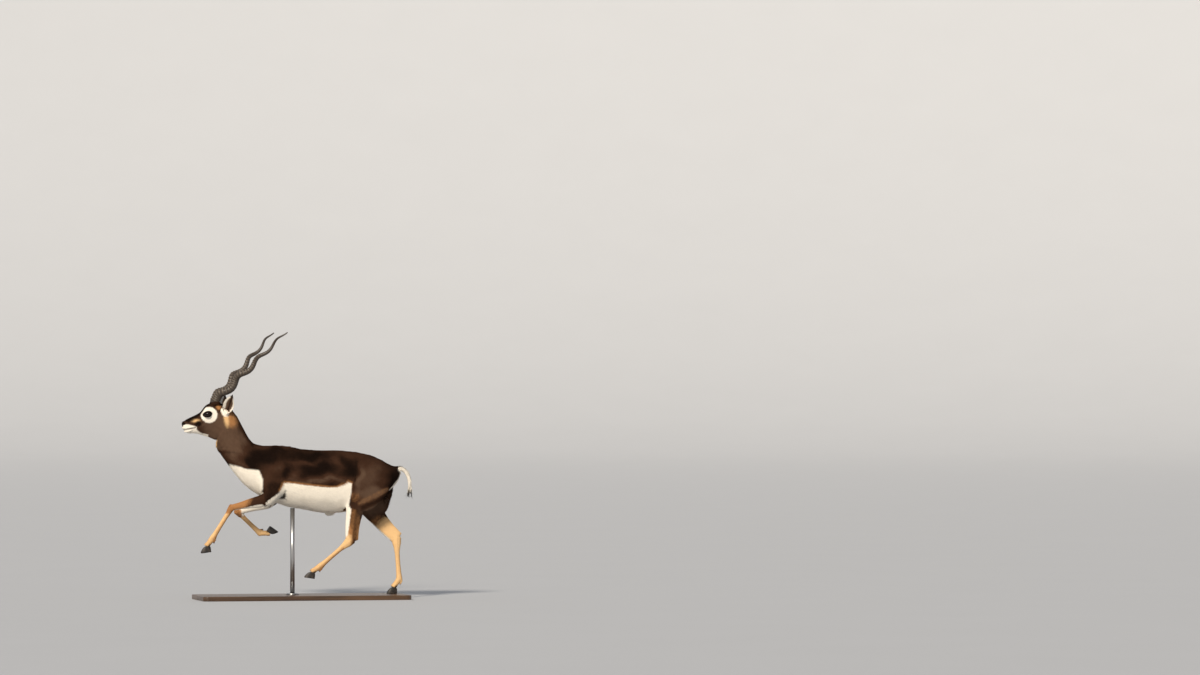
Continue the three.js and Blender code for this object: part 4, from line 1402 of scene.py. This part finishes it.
    def piece(
        self, name: str, tufts: np.ndarray, lean: np.ndarray, values: dict, uv: np.ndarray,
        material: bpy.types.Material,
    ) -> None:
        """One piece of the coat, from the four points of each tuft and the normals there.

        Args:
            name: Name of the piece.
            tufts: Four points of each tuft.
            lean: Normals at these points.
            values: Markings by name.
            uv: Place of each tuft's root in the skin's unwrap.
            material: Material of the piece.
        """
        count = len(tufts)
        shape = np.array([(0, 2, 1), (0, 3, 2), (1, 2, 3), (0, 1, 3)])
        faces = (np.arange(count)[:, None, None] * 4 + shape[None]).reshape(-1, 3)
        mesh = bpy.data.meshes.new(name)
        mesh.vertices.add(count * 4)
        mesh.vertices.foreach_set("co", tufts.reshape(-1).astype(np.float32))
        mesh.loops.add(len(faces) * 3)
        mesh.loops.foreach_set("vertex_index", faces.ravel().astype(np.int32))
        mesh.polygons.add(len(faces))
        mesh.polygons.foreach_set("loop_start", np.arange(0, len(faces) * 3, 3, dtype=np.int32))
        mesh.update(calc_edges=True)
        patch = np.array([(-1, -1), (1, -1), (0, 0), (0, 1)]) * self.patch_half
        spots = (uv[:, None, :] + patch[None]).reshape(-1, 2).clip(0, 1)
        layer = mesh.uv_layers.new(name="OFBake")
        layer.data.foreach_set("uv", spots[faces.ravel()].astype(np.float32).ravel())
        shade_smooth(mesh)
        lean = lean.reshape(-1, 3)
        mesh.normals_split_custom_set_from_vertices(lean / np.linalg.norm(lean, axis=1)[:, None])
        for key, value in values.items():
            carry(mesh, key, np.repeat(value, 4))
        new_piece(name, mesh, material, [])


# ---------------------------------------------------------------- horns, eyes and hooves


@dataclass(frozen=True)
class Horns:
    """Two ringed corkscrew horns."""

    root_mm: tuple = (33.3, 89.7, 24)
    length_mm: float = 488
    base_mm: float = 20
    tip_mm: float = 2.6
    rise: float = math.radians(46.3)
    splay: float = math.radians(19.7)
    turns: float = 3.75
    phase: float = math.radians(-111.7)
    swing_mm: float = 12.2
    taper: float = 0.52
    sunk: float = 0.055
    rings: int = 42
    steps: int = 9
    sides: int = 32

    def build(self, material: bpy.types.Material) -> None:
        """Makes both horns.

        Args:
            material: Material of the piece.
        """
        for word, side in SIDES:
            solid, ridges = self.horn(side)
            mesh = mesh_of(solid, f"horn_{word}_ringed")
            carry(mesh, "ridge", np.array(ridges))
            new_piece(f"horn_{word}_ringed", mesh, material, [f"horn_{word}"])

    def horn(self, side: int) -> tuple:
        """One horn and how far each of its points stands on a ring's ridge.

        Args:
            side: -1 for the left, 1 for the right.

        Returns:
            The solid and the numbers.
        """
        axis = np.array([math.cos(self.rise), side * math.tan(self.splay), math.sin(self.rise)])
        axis /= np.linalg.norm(axis)
        front = np.array([-math.sin(self.rise), 0, math.cos(self.rise)])
        out = -side * np.cross(axis, front)
        root = HEAD.plain(self.root_mm[0], self.root_mm[1], side * self.root_mm[2])
        skull_up = HEAD.plain(0, 1, 0) - HEAD.plain(0, 0, 0)

        def centre(t: float) -> np.ndarray:
            """Middle of the horn at a share of its length.

            Args:
                t: Share of the length.

            Returns:
                Point in building millimetres.
            """
            free = max(t, 0)
            turn = 2 * math.pi * self.turns * free + self.phase
            swing = self.swing_mm * min(1, 0.35 + free * 5) * (1 - self.taper * free)
            spot = root + axis * free * self.length_mm + skull_up * (t - free) * self.length_mm
            return spot + front * math.cos(turn) * swing + out * math.sin(turn) * swing

        rings, ridges = [], [0.0]
        count = self.rings * self.steps
        for i in range(count + 1):
            t = -self.sunk + (1 + self.sunk) * i / count
            way = centre(t + 1e-3) - centre(t - 1e-3)
            way /= np.linalg.norm(way)
            a = front - way * (front @ way)
            a /= np.linalg.norm(a)
            b = np.cross(way, a)
            phase = (i / self.steps) % 1
            crest = 0.5 - 0.5 * math.cos(2 * math.pi * phase)
            crest = crest**1.6
            fade = float(smooth(0.0, 0.36, 0.86 - t))
            plain = self.tip_mm + (self.base_mm - self.tip_mm) * (1 - max(t, 0)) ** 0.86
            plain *= max(0.3, 1 + 16 * min(t + 0.008, 0))
            ring = []
            for j in range(self.sides):
                angle = 2 * math.pi * j / self.sides
                strong = 0.62 + 0.38 * math.cos(angle)
                radius = plain * (0.94 + 0.15 * fade * crest * strong)
                spot = centre(t) + a * math.cos(angle) * radius * 1.05 + b * math.sin(angle) * radius * 0.95
                ring.append(place(spot))
                ridges.append(crest * fade * strong + (1 - fade) * 0.25)
            rings.append(ring)
        ordered = [ridges[1 + j] for j in range(self.sides)] + [0.0] + ridges[1 + self.sides:] + [0.3]
        return sweep(rings, place(centre(-self.sunk)), place(centre(1 + self.tip_mm / self.length_mm))), ordered


@dataclass(frozen=True)
class Eyes:
    """Two large dark eyes with a bulging front."""

    bulge: float = 0.03
    pupil: tuple = (0.42, 0.2)

    def build(self, material: bpy.types.Material) -> None:
        """Makes both eyes on the places of the solids.

        Args:
            material: Material of the piece.
        """
        for word, side in SIDES:
            low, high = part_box(f"eye_{word}")
            middle, radius = (low + high) / 2, (high - low).x / 2
            nose, rise, look = eye_axes(side)
            ball = bmesh.new()
            bmesh.ops.create_uvsphere(ball, u_segments=64, v_segments=48, radius=1)
            turn = Matrix((nose, rise, look)).transposed().to_4x4()
            gaze, pupil = [], []
            for vert in ball.verts:
                x, y, z = vert.co
                flat = math.hypot(x, y)
                gaze.append(flat if z > 0 else 1.0)
                pupil.append(math.hypot(x / self.pupil[0], y / self.pupil[1]) if z > 0 else 3.0)
                vert.co *= radius * (1 + self.bulge * max(0.0, z) ** 6)
            bmesh.ops.transform(ball, matrix=Matrix.Translation(middle) @ turn, verts=list(ball.verts))
            bmesh.ops.recalc_face_normals(ball, faces=list(ball.faces))
            mesh = mesh_of(ball, f"eyeball_{word}")
            carry(mesh, "gaze", np.array(gaze))
            carry(mesh, "pupil", np.array(pupil))
            new_piece(f"eyeball_{word}", mesh, material, [f"eye_{word}"])


@dataclass(frozen=True)
class Hooves:
    """Cloven hooves, rounded from their solids."""

    def build(self, material: bpy.types.Material) -> None:
        """Makes all the toes.

        Args:
            material: Material of the piece.
        """
        for name in sorted(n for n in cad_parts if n.startswith("hoof_")):
            toe = bmesh.new()
            toe.from_mesh(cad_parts[name].data)
            bmesh.ops.remove_doubles(toe, verts=list(toe.verts), dist=1e-6)
            bmesh.ops.dissolve_limit(
                toe, angle_limit=math.radians(3), verts=list(toe.verts), edges=list(toe.edges)
            )
            crease = toe.edges.layers.float.new("crease_edge")
            toe.normal_update()
            for edge in toe.edges:
                if edge.is_manifold and edge.calc_face_angle(0) > math.radians(60):
                    edge[crease] = 0.6
            piece = bpy.data.objects.new("toe_work", mesh_of(toe, f"{name}_horn"))
            bpy.context.scene.collection.objects.link(piece)
            apply_modifier(piece, "SUBSURF", levels=3, render_levels=3)
            mesh = piece.data
            bpy.data.objects.remove(piece)
            shade_smooth(mesh)
            new_piece(f"{name}_horn", mesh, material, [name])


# ---------------------------------------------------------------- stand


@dataclass(frozen=True)
class Stand:
    """Wooden base with a steel rod in a collar."""

    corner: float = 0.026
    edge: float = 0.003
    wall_gap: float = 0.0003

    def build(self, wood: bpy.types.Material, steel: bpy.types.Material) -> None:
        """Makes the base, the collar and the rod.

        Args:
            wood: Material of the base.
            steel: Material of the rod and collar.
        """
        low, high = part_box("stand_base")
        base = bmesh.new()
        size, middle = high - low, (low + high) / 2
        bmesh.ops.create_cube(base, size=1)
        bmesh.ops.scale(base, vec=size, verts=list(base.verts))
        uprights = [e for e in base.edges if abs(e.verts[0].co.z - e.verts[1].co.z) > size.z / 2]
        bmesh.ops.bevel(
            base, geom=uprights, offset=self.corner, segments=14, profile=0.5, affect="EDGES", material=-1
        )
        rims = [e for e in base.edges if abs(e.verts[0].co.z - e.verts[1].co.z) < 1e-6]
        bmesh.ops.bevel(base, geom=rims, offset=self.edge, segments=5, profile=0.5, affect="EDGES", material=-1)
        bmesh.ops.translate(base, vec=middle, verts=list(base.verts))
        bmesh.ops.recalc_face_normals(base, faces=list(base.faces))
        new_piece("plinth", mesh_of(base, "plinth"), wood, ["stand_base"])

        low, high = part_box("stand_rod")
        centre, radius = (low + high) / 2, (high - low).x / 2
        rod = self.turned([(0, low.z), (radius, low.z), (radius, high.z), (0, high.z)], centre)
        new_piece("rod", mesh_of(rod, "rod"), steel, ["stand_rod"])

        low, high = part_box("stand_collar")
        outer = (high - low).x / 2
        hole, top, foot = radius + self.wall_gap, high.z, low.z
        profile = [
            (hole, foot), (outer - 0.0006, foot), (outer, foot + 0.0006), (outer, top - 0.0035),
            (outer - 0.0015, top - 0.0018), (outer - 0.010, top - 0.0010), (hole + 0.0012, top),
            (hole, top - 0.0008),
        ]
        collar = self.turned(profile, centre, closed=True)
        new_piece("collar", mesh_of(collar, "collar"), steel, ["stand_collar"])

    @staticmethod
    def turned(profile: list, centre: Vector, closed: bool = False) -> bmesh.types.BMesh:
        """A turned solid round an upright axis.

        Args:
            profile: Radius and height of each corner.
            centre: A point of the axis.
            closed: True where the profile is a ring that doesn't touch the axis.

        Returns:
            The solid, with its faces outwards.
        """
        solid = bmesh.new()
        verts = [solid.verts.new((centre.x + r, centre.y, z)) for r, z in profile]
        pairs = list(zip(verts, verts[1:])) + ([(verts[-1], verts[0])] if closed else [])
        edges = [solid.edges.new(pair) for pair in pairs]
        bmesh.ops.spin(
            solid, geom=verts + edges, cent=(centre.x, centre.y, 0), axis=(0, 0, 1), angle=2 * math.pi,
            steps=64, use_merge=True,
        )
        bmesh.ops.remove_doubles(solid, verts=list(solid.verts), dist=1e-6)
        bmesh.ops.recalc_face_normals(solid, faces=list(solid.faces))
        return solid


# ---------------------------------------------------------------- studio


@dataclass(frozen=True)
class Studio:
    """Floor, backdrop, soft lights and the camera at the photograph's angle."""

    azimuth: float = math.radians(-12.77)
    distance: float = 30.0
    lens: float = 187.5
    eye_height_mm: float = 1080.0
    aim_mm: tuple = (1454.4, 1236.0)
    reach: float = 42.0
    rise: float = 16.0

    def build(self) -> None:
        """Makes the stage, the lights and the camera."""
        self.stage()
        self.lights()
        self.camera()

    def stage(self) -> None:
        """A floor that curves up into a backdrop."""
        sheet = bmesh.new()
        profile = [(0.0, 0.0), (self.reach, 0.0)]
        for step in range(1, 13):
            turn = math.radians(7.5 * step)
            profile.append((self.reach + self.rise * math.sin(turn), self.rise * (1 - math.cos(turn))))
        verts = [sheet.verts.new((r, 0, z)) for r, z in profile]
        edges = [sheet.edges.new(pair) for pair in zip(verts, verts[1:])]
        bmesh.ops.spin(
            sheet, geom=verts + edges, cent=(0, 0, 0), axis=(0, 0, 1), angle=2 * math.pi, steps=96, use_merge=True
        )
        bmesh.ops.remove_doubles(sheet, verts=list(sheet.verts), dist=1e-5)
        bmesh.ops.recalc_face_normals(sheet, faces=list(sheet.faces))
        if sum(f.normal.z for f in sheet.faces) < 0:
            bmesh.ops.reverse_faces(sheet, faces=list(sheet.faces))
        mesh = mesh_of(sheet, "floor")
        floor = bpy.data.objects.new("floor", mesh)
        bpy.context.scene.collection.objects.link(floor)
        floor.data.materials.append(StudioFinish().make())
        floor.visible_shadow = False

    @staticmethod
    def lights() -> None:
        """A low, warm and soft sun, and an even sky."""
        world = bpy.data.worlds.new("studio")
        bpy.context.scene.world = world
        world.use_nodes = True
        back = world.node_tree.nodes["Background"]
        back.inputs["Color"].default_value = (0.93, 0.95, 1.0, 1)
        back.inputs["Strength"].default_value = 0.42
        bpy.context.scene.view_settings.view_transform = "Standard"
        sun = bpy.data.lights.new("key", "SUN")
        sun.energy = 3.7
        sun.angle = math.radians(9)
        sun.color = (1.0, 0.9, 0.76)
        key = bpy.data.objects.new("key", sun)
        key.rotation_euler = (math.radians(60), 0, math.radians(-34))
        bpy.context.scene.collection.objects.link(key)

    def camera(self) -> None:
        """A long lens far away, framed as the photograph."""
        right = Vector((math.cos(self.azimuth), math.sin(self.azimuth), 0))
        back = Vector((math.sin(self.azimuth), -math.cos(self.azimuth), 0))
        shift = Vector(SHIFT_MM * MM)
        target = right * self.aim_mm[0] * MM + Vector((0, 0, self.aim_mm[1] * MM)) + shift
        eye = right * self.aim_mm[0] * MM + back * self.distance
        eye.z = self.eye_height_mm * MM
        eye += shift
        camera = bpy.data.cameras.new("camera")
        camera.sensor_width = 36
        camera.lens = self.lens
        camera.clip_start, camera.clip_end = 0.1, 400
        viewer = bpy.data.objects.new("camera", camera)
        viewer.location = eye
        viewer.rotation_mode = "QUATERNION"
        viewer.rotation_quaternion = (target - eye).to_track_quat("-Z", "Y")
        bpy.context.scene.collection.objects.link(viewer)
        bpy.context.scene.camera = viewer


def main() -> None:
    """Builds the pieces in order."""
    logging.basicConfig(level=logging.INFO, format="%(name)s %(message)s")
    Studio().build()
    skin = Skin()
    skin.build()
    points = coordinates_of(skin.mesh)
    fields = Markings().fields(points / MM - SHIFT_MM, normals_of(skin.mesh))
    coat = Coat()
    coat.grow(skin.mesh, fields, CoatFinish().make("coat_hair", True))
    for name, value in fields.items():
        carry(skin.mesh, name, value)
    carry(skin.mesh, "tone", np.zeros(len(points)))
    new_piece("skin", skin.mesh, CoatFinish().make("coat_skin", False), skin.nodes())
    Horns().build(HornFinish().make())
    Eyes().build(EyeFinish().make())
    Hooves().build(HoofFinish().make())
    Stand().build(WoodFinish().make(), SteelFinish().make())


if __name__ == "__main__":
    main()
